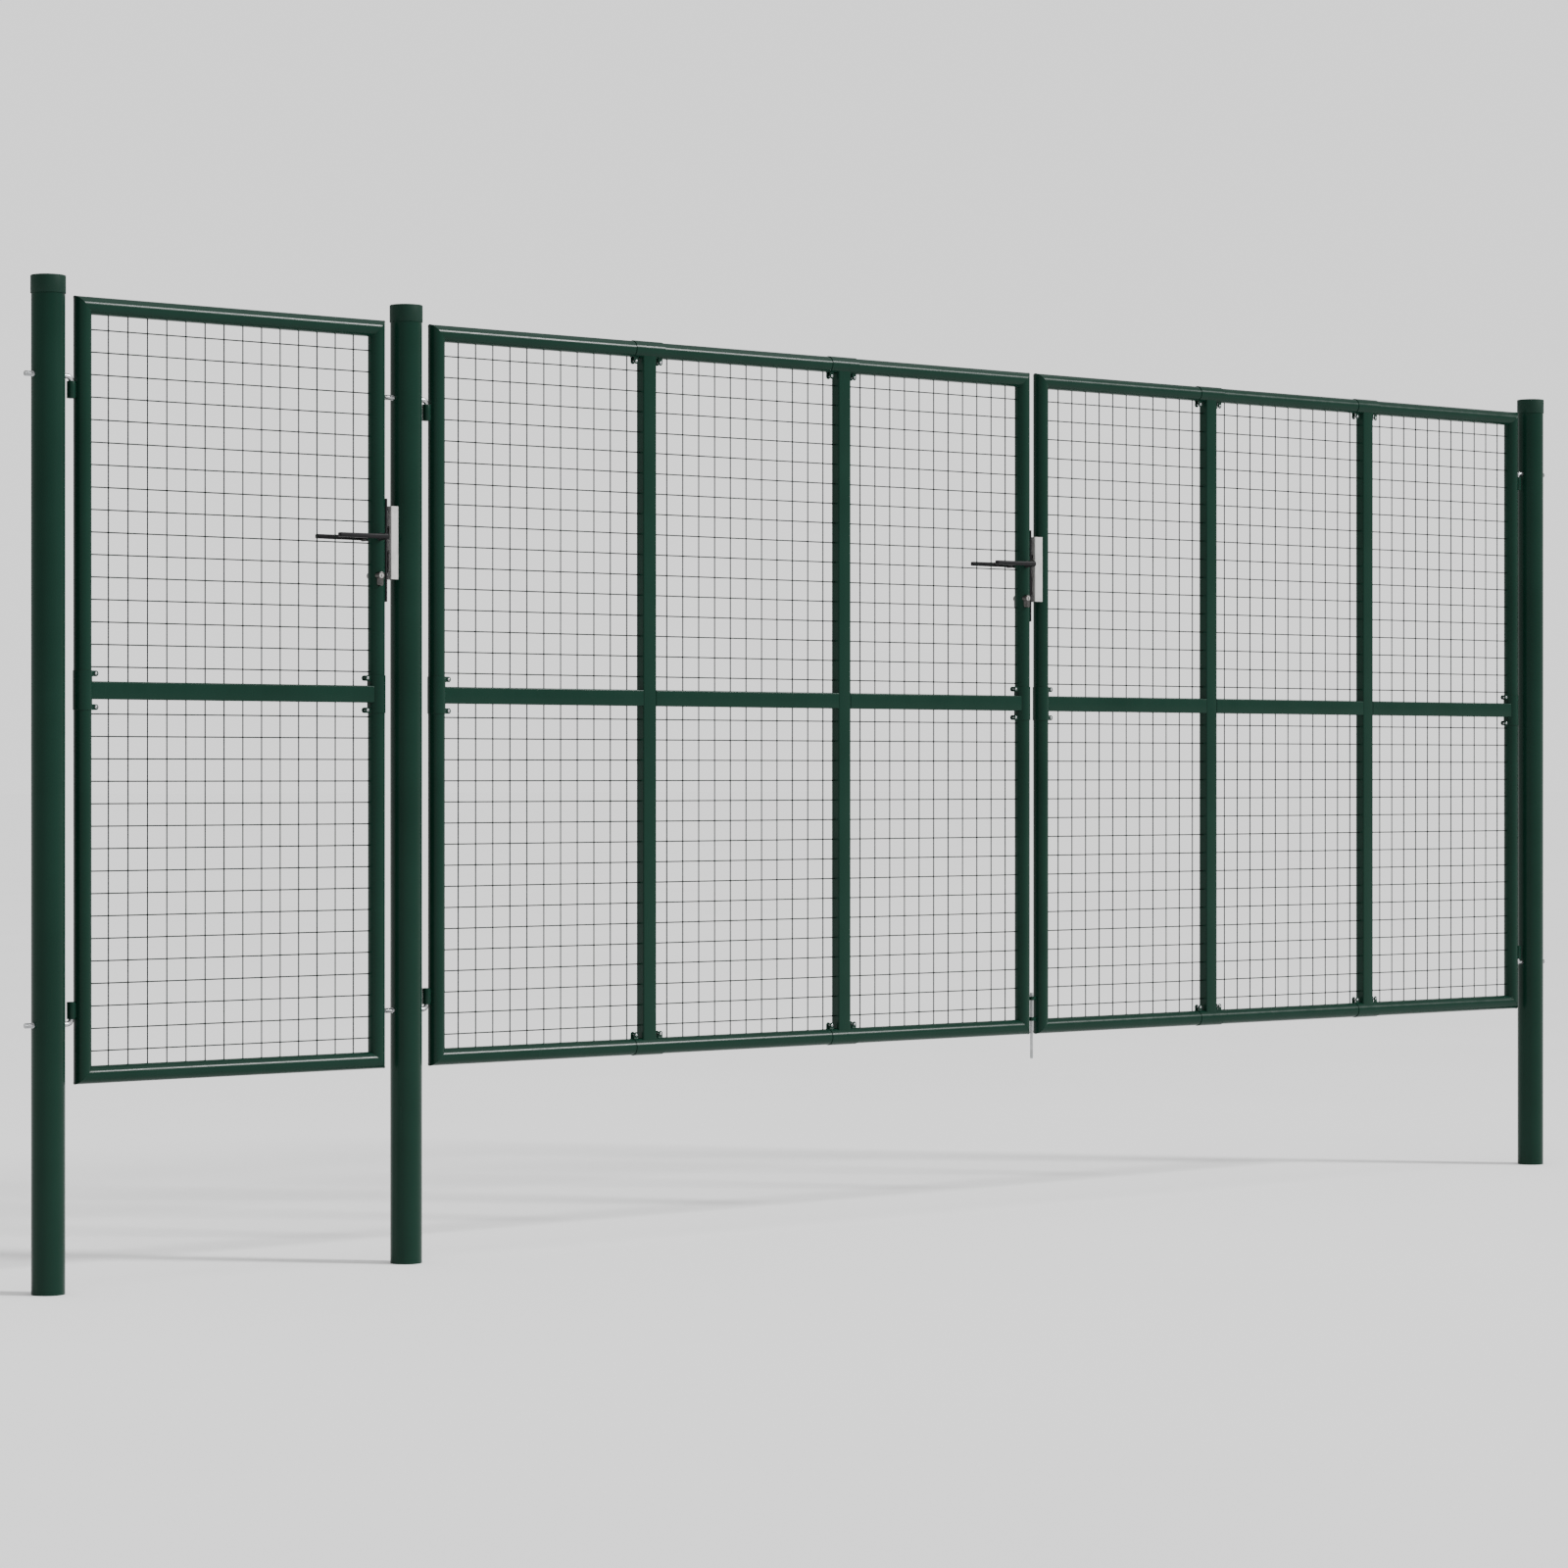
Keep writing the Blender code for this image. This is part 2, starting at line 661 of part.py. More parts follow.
def prepare_lock_stile(stile, stile_x):
    """Opens the lock stile for the case, the forend, the spindle and the key cylinder."""
    spindle_x = stile_x - SPINDLE_SETBACK
    cylinder_z = LEVER_Z - CYLINDER_BELOW_LEVER
    half = CASE_THICKNESS / 2 + GAP
    beyond = stile_x + FRAME_DIAMETER
    slot = block("slot", (stile_x, -half, cylinder_z - CASE_MARGIN - GAP),
                 (beyond, half, LEVER_Z + CASE_MARGIN + GAP))
    flat = block("flat", (stile_x + FOREND_SEAT - GAP, -FOREND_WIDTH, LEVER_Z - FOREND_BELOW - GAP),
                 (beyond, FOREND_WIDTH, LEVER_Z + FOREND_ABOVE + GAP))
    spindle = bar("spindle", circle(SPINDLE_DIAMETER / 2 + 2 * GAP, ROD_SIDES), "Y",
                  (spindle_x, LEVER_Z), -FRAME_DIAMETER, FRAME_DIAMETER)
    cylinder = bar("cylinder", key_cylinder_outline(GAP), "Y", (spindle_x, cylinder_z),
                   -FRAME_DIAMETER, FRAME_DIAMETER)
    return cut(stile, slot, flat, spindle, cylinder)


def make_lock(leaf, leaf_pivot):
    """A mortise gate lock for round tube: case, key cylinder, plug, levers, latch and dead bolt."""
    stile_x = leaf.free_stile_x
    spindle_x = stile_x - SPINDLE_SETBACK
    cylinder_z = LEVER_Z - CYLINDER_BELOW_LEVER
    latch_z = LEVER_Z + LATCH_ABOVE_LEVER
    dead_z = LEVER_Z - DEAD_BELOW_LEVER
    face_x = stile_x + FRAME_RADIUS + FOREND_PROUD
    half = CASE_THICKNESS / 2

    def bolt_space(centre_z, width, height, back_x):
        return block(
            "space",
            (back_x, -width / 2 - BOLT_PLAY, centre_z - height / 2 - BOLT_PLAY),
            (face_x + OVERLAP, width / 2 + BOLT_PLAY, centre_z + height / 2 + BOLT_PLAY),
        )

    case = block(f"{leaf.name}_lock_case", (stile_x - CASE_BACK, -half, cylinder_z - CASE_MARGIN),
                 (stile_x + FOREND_SEAT + OVERLAP, half, LEVER_Z + CASE_MARGIN))
    forend = block("forend", (stile_x + FOREND_SEAT, -FOREND_WIDTH / 2, LEVER_Z - FOREND_BELOW),
                   (face_x, FOREND_WIDTH / 2, LEVER_Z + FOREND_ABOVE))
    latch_tip = face_x + LATCH_PROUD
    latch_back = latch_tip - LATCH_SIZE[0]
    dead_tip = face_x - BOLT_PLAY
    dead_back = stile_x - CASE_BACK + DEAD_POCKET_WALL
    join(case, forend)
    cut(
        case,
        bolt_space(latch_z, *LATCH_SIZE[1:], latch_back - LATCH_TRAVEL - BOLT_PLAY),
        bolt_space(dead_z, *DEAD_SIZE, dead_back - BOLT_PLAY),
        bar("spindle", circle(SPINDLE_DIAMETER / 2 + 2 * GAP, ROD_SIDES), "Y", (spindle_x, LEVER_Z),
            -FRAME_RADIUS, FRAME_RADIUS),
        bar("cylinder", key_cylinder_outline(GAP), "Y", (spindle_x, cylinder_z),
            -FRAME_RADIUS, FRAME_RADIUS),
    )
    finish(case, BLACK_COAT, leaf_pivot)

    cylinder = bar(f"{leaf.name}_key_cylinder", key_cylinder_outline(), "Y", (spindle_x, cylinder_z),
                   *CYLINDER_ENDS)
    cut(cylinder, bar("bore", circle(PLUG_DIAMETER / 2 + RUNNING, TUBE_SIDES), "Y",
                      (spindle_x, cylinder_z), CYLINDER_ENDS[0] - OVERLAP, CYLINDER_ENDS[1] + OVERLAP))
    finish(cylinder, NICKEL, leaf_pivot)

    plug_pivot = pivot(f"{leaf.name}_plug_pivot", (spindle_x, 0, cylinder_z), leaf_pivot)
    plug = bar(f"{leaf.name}_key_plug", circle(PLUG_DIAMETER / 2, TUBE_SIDES), "Y",
               (spindle_x, cylinder_z), *CYLINDER_ENDS)
    width, height, depth = KEYWAY
    for side, face_y in zip((-1, 1), CYLINDER_ENDS):
        ends = sorted((face_y - side * depth, face_y + side * OVERLAP))
        cut(plug, block("keyway", (spindle_x - width / 2, ends[0], cylinder_z - height / 2),
                        (spindle_x + width / 2, ends[1], cylinder_z + height / 2)))
    finish(plug, NICKEL, plug_pivot)

    lever_pivot = pivot(f"{leaf.name}_lever_pivot", (spindle_x, 0, LEVER_Z), leaf_pivot)
    make_lever_pair(leaf, spindle_x, lever_pivot)

    latch_pivot = pivot(f"{leaf.name}_latch_slide", (latch_back, 0, latch_z), leaf_pivot)
    finish(make_latch(leaf, latch_back, latch_tip, latch_z), STAINLESS, latch_pivot)

    dead_pivot = pivot(f"{leaf.name}_dead_bolt_slide", (dead_back, 0, dead_z), leaf_pivot)
    width, height = DEAD_SIZE
    dead = block(f"{leaf.name}_dead_bolt", (dead_back, -width / 2, dead_z - height / 2),
                 (dead_tip, width / 2, dead_z + height / 2))
    finish(dead, STAINLESS, dead_pivot)


def make_lever_pair(leaf, spindle_x, lever_pivot):
    """Both levers on their spindle, which turn as one."""
    outside = LEVER_OFFSET + LEVER_BAR_DEPTH / 2
    levers = bar(f"{leaf.name}_levers", circle(SPINDLE_DIAMETER / 2, ROD_SIDES), "Y",
                 (spindle_x, LEVER_Z), -LEVER_OFFSET, LEVER_OFFSET)
    end = LEVER_BAR_HEIGHT / 2
    outline = []
    for centre, start in ((0.0, -math.pi / 2), (end - LEVER_LENGTH, math.pi / 2)):
        for i in range(7):
            t = start + math.pi * i / 6
            outline.append((centre + end * math.cos(t), end * math.sin(t)))
    for side in (-1, 1):
        hub_ends = sorted((side * (FRAME_RADIUS + 2 * GAP), side * (outside - OVERLAP)))
        hub = bar("hub", circle(HUB_DIAMETER / 2, TUBE_SIDES), "Y", (spindle_x, LEVER_Z), *hub_ends)
        lever_ends = sorted((side * (outside - LEVER_BAR_DEPTH), side * outside))
        lever = bar("lever", outline, "Y", (spindle_x, LEVER_Z), *lever_ends)
        join(levers, hub, lever)
    finish(levers, BLACK_COAT, lever_pivot)


def make_latch(leaf, back_x, tip_x, centre_z):
    """A sprung bolt whose tip slopes on both sides, so that it rides into the keep either way."""
    half = LATCH_SIZE[1] / 2
    nose = LATCH_PROUD * 0.8
    outline = [
        (back_x, -half),
        (tip_x - nose, -half),
        (tip_x, -half / 3),
        (tip_x, half / 3),
        (tip_x - nose, half),
        (back_x, half),
    ]
    low, high = centre_z - LATCH_SIZE[2] / 2, centre_z + LATCH_SIZE[2] / 2
    return bar(f"{leaf.name}_latch_bolt", outline, "Z", (0, 0), low, high)


def make_drop_bolt(stile, leaf, leaf_pivot):
    """A rod in two guide rings on the free stile. A cross pin rests on the upper ring."""
    x = leaf.free_stile_x + leaf.reach * (FRAME_RADIUS + MEETING_GAP / 2)
    for height in GUIDE_HEIGHTS:
        centre_z = LEAF_BOTTOM + height
        low, high = centre_z - GUIDE_LENGTH / 2, centre_z + GUIDE_LENGTH / 2
        ring = bar("ring", circle(GUIDE_DIAMETER / 2, TUBE_SIDES), "Z", (x, 0), low, high)
        lug_ends = sorted((x, leaf.free_stile_x + leaf.reach * (FRAME_RADIUS - FRAME_WALL / 2)))
        lug = block("lug", (lug_ends[0], -GUIDE_LENGTH / 2, low), (lug_ends[1], GUIDE_LENGTH / 2, high))
        join(ring, lug)
        cut(ring, bar("bore", circle(DROP_DIAMETER / 2 + RUNNING, ROD_SIDES), "Z", (x, 0),
                      low - OVERLAP, high + OVERLAP))
        join(stile, ring)

    low, high = LEAF_BOTTOM + DROP_LOW, LEAF_BOTTOM + DROP_HIGH
    radius = DROP_DIAMETER / 2
    profile = [(0, low), (radius / 2, low), (radius, low + radius), (radius, high - radius / 4),
               (radius * 3 / 4, high), (0, high)]
    rod = turned(f"{leaf.name}_drop_bolt", profile, ROD_SIDES, "Z", (x, 0))
    pin = bar("pin", circle(DROP_PIN_DIAMETER / 2, ROD_SIDES), "Y", (x, LEAF_BOTTOM + DROP_PIN_HEIGHT),
              -DROP_PIN_LENGTH / 2, DROP_PIN_LENGTH / 2)
    join(rod, pin)
    finish(rod, ZINC, pivot(f"{leaf.name}_drop_bolt_slide", (x, 0, low), leaf_pivot))


def make_leaf(leaf, has_lock):
    leaf_pivot = pivot(f"{leaf.name}_pivot", (leaf.pin_x, 0, LEAF_BOTTOM))
    tubes = make_frame(leaf)
    if has_lock:
        prepare_lock_stile(tubes["free_stile"], leaf.free_stile_x)
        make_lock(leaf, leaf_pivot)
    else:
        make_drop_bolt(tubes["free_stile"], leaf, leaf_pivot)
        make_keep(f"{leaf.name}_keep", leaf.free_stile_x, FRAME_RADIUS, TUBE_SIDES, leaf_pivot)
    for tube in tubes.values():
        finish(tube, GREEN_PAINT, leaf_pivot)
    make_inner_bars(leaf, leaf_pivot)
    make_mesh_panels(leaf, leaf_pivot)


def main():
    clear_scene()
    for name, x in zip(("left", "middle", "right"), POST_X):
        make_post(name, x)
        make_cap(name, x)
    make_keep("post_keep", POST_X[1], POST_RADIUS, POST_SIDES)
    for leaf in (SINGLE, LEAF_A, LEAF_B):
        make_hinge_rods(leaf)
        make_leaf(leaf, has_lock=leaf is not LEAF_B)


main()
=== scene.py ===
"""Looks of a gate set in round steel tube with welded mesh, on three posts.

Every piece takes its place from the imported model: the boxes of its nodes and the axes of its
joints. Lengths are in metres, +X runs along the closed gate and -Y faces someone in front of it.
"""

import json
import logging
import math
from collections.abc import Callable, Iterator
from contextlib import contextmanager
from dataclasses import dataclass
from enum import Enum

import bmesh
import bpy
from mathutils import Matrix, Vector

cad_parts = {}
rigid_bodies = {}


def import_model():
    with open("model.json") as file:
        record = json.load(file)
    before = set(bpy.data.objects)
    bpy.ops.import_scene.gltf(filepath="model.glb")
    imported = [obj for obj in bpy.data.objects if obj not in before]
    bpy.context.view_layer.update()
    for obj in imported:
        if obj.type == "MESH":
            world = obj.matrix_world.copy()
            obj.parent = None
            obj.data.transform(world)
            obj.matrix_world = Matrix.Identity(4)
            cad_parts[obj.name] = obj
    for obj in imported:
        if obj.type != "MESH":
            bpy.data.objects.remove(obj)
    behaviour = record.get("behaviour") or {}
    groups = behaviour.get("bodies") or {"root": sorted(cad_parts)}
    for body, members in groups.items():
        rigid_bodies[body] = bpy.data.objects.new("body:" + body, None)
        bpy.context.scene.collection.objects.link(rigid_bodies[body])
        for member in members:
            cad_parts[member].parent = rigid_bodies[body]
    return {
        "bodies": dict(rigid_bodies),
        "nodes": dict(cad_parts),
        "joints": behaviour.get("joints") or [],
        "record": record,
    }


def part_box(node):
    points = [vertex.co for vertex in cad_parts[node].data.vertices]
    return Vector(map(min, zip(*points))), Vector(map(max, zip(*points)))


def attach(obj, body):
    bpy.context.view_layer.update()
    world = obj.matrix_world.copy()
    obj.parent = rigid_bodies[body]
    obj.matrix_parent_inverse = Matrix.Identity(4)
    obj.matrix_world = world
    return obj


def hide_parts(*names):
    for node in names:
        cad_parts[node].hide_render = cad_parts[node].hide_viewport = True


log = logging.getLogger("gate_set")

Piece = bpy.types.Object
Material = bpy.types.Material
Colour = tuple[float, float, float]
Point = tuple[float, float, float]

FIT = 0.0003
SMOOTH_ANGLE = math.radians(38)


# ---------------------------------------------------------------------------------------------
# Bench work: the few steps that every piece is made with
# ---------------------------------------------------------------------------------------------


class Along(Enum):
    """The direction that a bar, tube or bolt runs in."""

    X = 0
    Y = 1
    Z = 2

    @property
    def turn(self) -> Point:
        """The rotation that lays a shape drawn along Z in this direction."""
        return ((0.0, math.pi / 2, 0.0), (math.pi / 2, 0.0, 0.0), (0.0, 0.0, 0.0))[self.value]

    def point(self, across: tuple[float, float], distance: float) -> Vector:
        """A point at a distance in this direction.

        Args:
            across: Its two other coordinates, in the order X, Y, Z.
            distance: Its coordinate in this direction.

        Returns:
            The point.
        """
        coordinates = list(across)
        coordinates.insert(self.value, distance)
        return Vector(coordinates)


def pick(*pieces: Piece) -> None:
    """Selects these pieces and nothing else, with the first one active.

    Args:
        *pieces: The pieces to select.
    """
    bpy.ops.object.select_all(action="DESELECT")
    for piece in pieces:
        piece.select_set(True)
    bpy.context.view_layer.objects.active = pieces[0]


def settle(name: str) -> Piece:
    """Names the new active object and moves its place and turn into its mesh.

    Args:
        name: The piece's name.

    Returns:
        The piece, with its object at the origin.
    """
    piece = bpy.context.view_layer.objects.active
    piece.name = piece.data.name = name
    pick(piece)
    bpy.ops.object.transform_apply(location=True, rotation=True, scale=True)
    return piece


def primitive(name: str, add: Callable[..., object], **settings: object) -> Piece:
    """Adds a simple shape to start a piece from, with nothing else selected.

    Args:
        name: The new piece's name.
        add: The operator that adds the shape.
        **settings: Its settings.

    Returns:
        The new piece.
    """
    bpy.ops.object.select_all(action="DESELECT")
    add(**settings)
    return settle(name)


@contextmanager
def editing(piece: Piece, mode: str = "FACE") -> Iterator[None]:
    """Opens a piece in edit mode with nothing selected, and closes it afterwards.

    Args:
        piece: The piece to edit.
        mode: VERT, EDGE or FACE.
    """
    pick(piece)
    bpy.ops.object.mode_set(mode="EDIT")
    bpy.ops.mesh.select_mode(type=mode)
    bpy.ops.mesh.select_all(action="DESELECT")
    yield
    bpy.ops.object.mode_set(mode="OBJECT")


def choose(piece: Piece, kind: str, test: Callable[..., bool]) -> int:
    """Selects the elements of a piece in edit mode that pass a test, and only those.

    Args:
        piece: The piece in edit mode.
        kind: verts, edges or faces.
        test: Takes an element and says whether it is wanted.

    Returns:
        How many were selected.
    """
    bpy.ops.mesh.select_all(action="DESELECT")
    shape = bmesh.from_edit_mesh(piece.data)
    wanted = [element for element in getattr(shape, kind) if test(element)]
    for element in wanted:
        element.select_set(True)
    bmesh.update_edit_mesh(piece.data)
    return len(wanted)


def middle(edge: bmesh.types.BMEdge) -> Vector:
    """The middle of an edge."""
    return (edge.verts[0].co + edge.verts[1].co) / 2


def run(edge: bmesh.types.BMEdge, along: Along) -> float:
    """How far an edge runs in a direction."""
    return abs(edge.verts[0].co[along.value] - edge.verts[1].co[along.value])


def mid(node: str, along: Along) -> float:
    """The middle of a node's box in a direction.

    Args:
        node: The node's name.
        along: The direction.

    Returns:
        The coordinate halfway between its two sides.
    """
    low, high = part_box(node)
    return (low[along.value] + high[along.value]) / 2


def round_bar(
    name: str,
    radius: float,
    along: Along,
    across: tuple[float, float],
    ends: tuple[float, float],
    sides: int = 32,
    capped: bool = True,
) -> Piece:
    """A round bar, or the bare skin of one.

    Args:
        name: The piece's name.
        radius: Its radius.
        along: Its direction.
        across: Its axis's two other coordinates.
        ends: Where it starts and stops, in either order.
        sides: Its number of sides.
        capped: Whether its ends are closed.

    Returns:
        The bar.
    """
    low, high = sorted(ends)
    return primitive(
        name,
        bpy.ops.mesh.primitive_cylinder_add,
        vertices=sides,
        radius=radius,
        depth=high - low,
        end_fill_type="NGON" if capped else "NOTHING",
        location=along.point(across, (low + high) / 2),
        rotation=along.turn,
    )


def block(name: str, low: Point, high: Point) -> Piece:
    """A box between two corners.

    Args:
        name: The piece's name.
        low: Its lowest corner.
        high: Its highest corner.

    Returns:
        The box.
    """
    return primitive(
        name,
        bpy.ops.mesh.primitive_cube_add,
        size=1.0,
        location=[(a + b) / 2 for a, b in zip(low, high)],
        scale=[b - a for a, b in zip(low, high)],
    )


def apply_modifier(piece: Piece, kind: str, **settings: object) -> Piece:
    """Adds a modifier to a piece and applies it.

    Args:
        piece: The piece.
        kind: The modifier's type.
        **settings: Its settings.

    Returns:
        The same piece.
    """
    pick(piece)
    modifier = piece.modifiers.new(kind.title(), kind)
    for name, value in settings.items():
        setattr(modifier, name, value)
    bpy.ops.object.modifier_apply(modifier=modifier.name)
    return piece


def combine(piece: Piece, operation: str, *tools: Piece) -> Piece:
    """Cuts tools from a piece or welds them to it, and removes them.

    Args:
        piece: The piece.
        operation: DIFFERENCE to cut, or UNION to weld.
        *tools: The tools.

    Returns:
        The same piece.
    """
    for tool in tools:
        apply_modifier(piece, "BOOLEAN", operation=operation, solver="EXACT", object=tool)
        bpy.data.objects.remove(tool)
    return piece


def soften(piece: Piece, width: float, segments: int = 2, angle: float = 30.0) -> Piece:
    """Rounds every sharp edge of a piece.

    Args:
        piece: The piece.
        width: Width of the rounding.
        segments: Its number of steps.
        angle: The angle in degrees from which an edge counts as sharp.

    Returns:
        The same piece.
    """
    return apply_modifier(
        piece,
        "BEVEL",
        width=width,
        segments=segments,
        limit_method="ANGLE",
        angle_limit=math.radians(angle),
        use_clamp_overlap=True,
    )


def thicken(piece: Piece, thickness: float, outwards: bool = False) -> Piece:
    """Gives a skin its wall.

    Args:
        piece: The skin.
        thickness: Thickness of the wall.
        outwards: Whether the wall is on the outer side of the skin.

    Returns:
        The same piece.
    """
    return apply_modifier(
        piece,
        "SOLIDIFY",
        thickness=thickness,
        offset=1.0 if outwards else -1.0,
        use_even_offset=True,
    )


def bevel_chosen(
    piece: Piece, kind: str, width: float, segments: int, test: Callable[..., bool]
) -> None:
    """Bevels the edges or corners of a piece that pass a test.

    Args:
        piece: The piece, in object mode.
        kind: edges or verts.
        width: The bevel's width.
        segments: The bevel's number of steps.
        test: Takes an edge or a vertex.
    """
    mode, affect = ("EDGE", "EDGES") if kind == "edges" else ("VERT", "VERTICES")
    with editing(piece, mode):
        if choose(piece, kind, test):
            bpy.ops.mesh.bevel(offset=width, segments=segments, affect=affect)


def copy_of(piece: Piece, name: str, placing: Matrix) -> Piece:
    """A copy of a piece with a mesh of its own.

    Args:
        piece: The piece to copy.
        name: The copy's name.
        placing: The move and turn that take it to its place.

    Returns:
        The copy.
    """
    copy = piece.copy()
    copy.data = piece.data.copy()
    copy.name = copy.data.name = name
    copy.data.transform(placing)
    bpy.context.scene.collection.objects.link(copy)
    return copy


def fuse(name: str, *pieces: Piece) -> Piece:
    """Joins pieces that are one thing in use, each as its own closed shell.

    Args:
        name: The joined piece's name.
        *pieces: The pieces.

    Returns:
        The joined piece.
    """
    pick(*pieces)
    if len(pieces) > 1:
        bpy.ops.object.join()
    fused = bpy.context.view_layer.objects.active
    fused.name = fused.data.name = name
    return fused


def row_of(piece: Piece, count: int, step: Point) -> Piece:
    """Repeats a piece in a straight row.

    Args:
        piece: The piece.
        count: How many there are in the row.
        step: The move from each one to the next.

    Returns:
        The same piece, now the whole row.
    """
    return apply_modifier(
        piece,
        "ARRAY",
        count=count,
        use_relative_offset=False,
        use_constant_offset=True,
        constant_offset_displace=step,
        use_merge_vertices=False,
    )


# ---------------------------------------------------------------------------------------------
# Finishes
# ---------------------------------------------------------------------------------------------


class Recipe:
    """A material in the making: its nodes, and its shader.

    Attributes:
        NOISE_ROUGHNESS: How much the finer octaves of a noise show.
        NOISE_RANGE: The part of a noise's values that is spread over a range.
        TONE_RANGE: Where the first and the last tone lie on a noise's values.
    """

    NOISE_ROUGHNESS = 0.55
    NOISE_RANGE = (0.3, 0.7)
    TONE_RANGE = (0.32, 0.68)

    def __init__(self, name: str) -> None:
        """Starts a material with a plain shader.

        Args:
            name: The material's name.
        """
        self.material = bpy.data.materials.new(name)
        self.material.use_nodes = True
        self.tree = self.material.node_tree
        self.shader = self.tree.nodes["Principled BSDF"]
        self.place = self.node("ShaderNodeTexCoord").outputs["Object"]

    def node(self, kind: str, **settings: object) -> bpy.types.Node:
        """Adds a node.

        Args:
            kind: The node's type.
            **settings: Its settings.

        Returns:
            The node.
        """
        made = self.tree.nodes.new(kind)
        for name, value in settings.items():
            setattr(made, name, value)
        return made

    def feed(self, node: bpy.types.Node, **inputs: object) -> None:
        """Sets or links a node's inputs.

        Args:
            node: The node.
            **inputs: A value or an output for each input, named in lower case with underscores.
        """
        for socket in node.inputs:
            key = socket.name.lower().replace(" ", "_")
            if key not in inputs or not socket.enabled:
                continue
            value = inputs[key]
            if isinstance(value, bpy.types.NodeSocket):
                self.tree.links.new(value, socket)
            else:
                socket.default_value = value

    def stretched(self, scale: Point) -> bpy.types.NodeSocket:
        """Object coordinates, stretched for a brushed or drawn finish.

        Args:
            scale: Repeats to a metre along X, Y and Z.

        Returns:
            The stretched coordinates.
        """
        mapping = self.node("ShaderNodeMapping")
        self.feed(mapping, vector=self.place, scale=scale)
        return mapping.outputs["Vector"]

    def noise(
        self, scale: float, detail: float = 3.0, where: bpy.types.NodeSocket | None = None
    ) -> bpy.types.NodeSocket:
        """A noise value.

        Args:
            scale: Its fineness, in repeats to a metre.
            detail: Its octaves.
            where: The coordinates it reads, or None for the piece's own.

        Returns:
            The noise's output.
        """
        made = self.node("ShaderNodeTexNoise")
        self.feed(
            made,
            vector=where or self.place,
            scale=scale,
            detail=detail,
            roughness=self.NOISE_ROUGHNESS,
        )
        return made.outputs["Fac"]

    def spread(self, value: bpy.types.NodeSocket, low: float, high: float) -> bpy.types.NodeSocket:
        """Spreads a noise value over a range.

        Args:
            value: The noise value.
            low: The lowest result.
            high: The highest result.

        Returns:
            The result.
        """
        made = self.node("ShaderNodeMapRange")
        first, last = self.NOISE_RANGE
        self.feed(made, value=value, from_min=first, from_max=last, to_min=low, to_max=high)
        return made.outputs["Result"]

    def tones(self, value: bpy.types.NodeSocket, *colours: Colour) -> bpy.types.NodeSocket:
        """Spreads colours evenly over a noise value.

        Args:
            value: The noise value.
            *colours: The colours, the first where the value is low.

        Returns:
            The colour.
        """
        ramp = self.node("ShaderNodeValToRGB")
        points = ramp.color_ramp.elements
        while len(points) < len(colours):
            points.new(0.5)
        first, last = self.TONE_RANGE
        for i, (point, colour) in enumerate(zip(points, colours)):
            point.position = first + (last - first) * i / (len(colours) - 1)
            point.color = (*colour, 1.0)
        self.tree.links.new(value, ramp.inputs["Fac"])
        return ramp.outputs["Color"]

    def over(
        self, base: bpy.types.NodeSocket, top: Colour, share: bpy.types.NodeSocket
    ) -> bpy.types.NodeSocket:
        """Lays one colour over another.

        Args:
            base: The colour underneath.
            top: The colour on top.
            share: How much of the top one shows.

        Returns:
            The mixed colour.
        """
        mix = self.node("ShaderNodeMix", data_type="RGBA")
        sockets = {socket.identifier: socket for socket in (*mix.inputs, *mix.outputs)}
        self.tree.links.new(base, sockets["A_Color"])
        sockets["B_Color"].default_value = (*top, 1.0)
        self.tree.links.new(share, sockets["Factor_Float"])
        return sockets["Result_Color"]

    def relief(
        self,
        height: bpy.types.NodeSocket,
        depth: float,
        strength: float,
        under: bpy.types.NodeSocket | None = None,
    ) -> bpy.types.NodeSocket:
        """Makes a fine relief of a given depth in metres.

        Args:
            height: The relief's height value.
            depth: Its depth.
            strength: How strongly it shows.
            under: Another relief that it lies on.

        Returns:
            The surface's new direction.
        """
        bump = self.node("ShaderNodeBump")
        self.feed(bump, height=height, distance=depth, strength=strength)
        if under is not None:
            self.tree.links.new(under, bump.inputs["Normal"])
        return bump.outputs["Normal"]


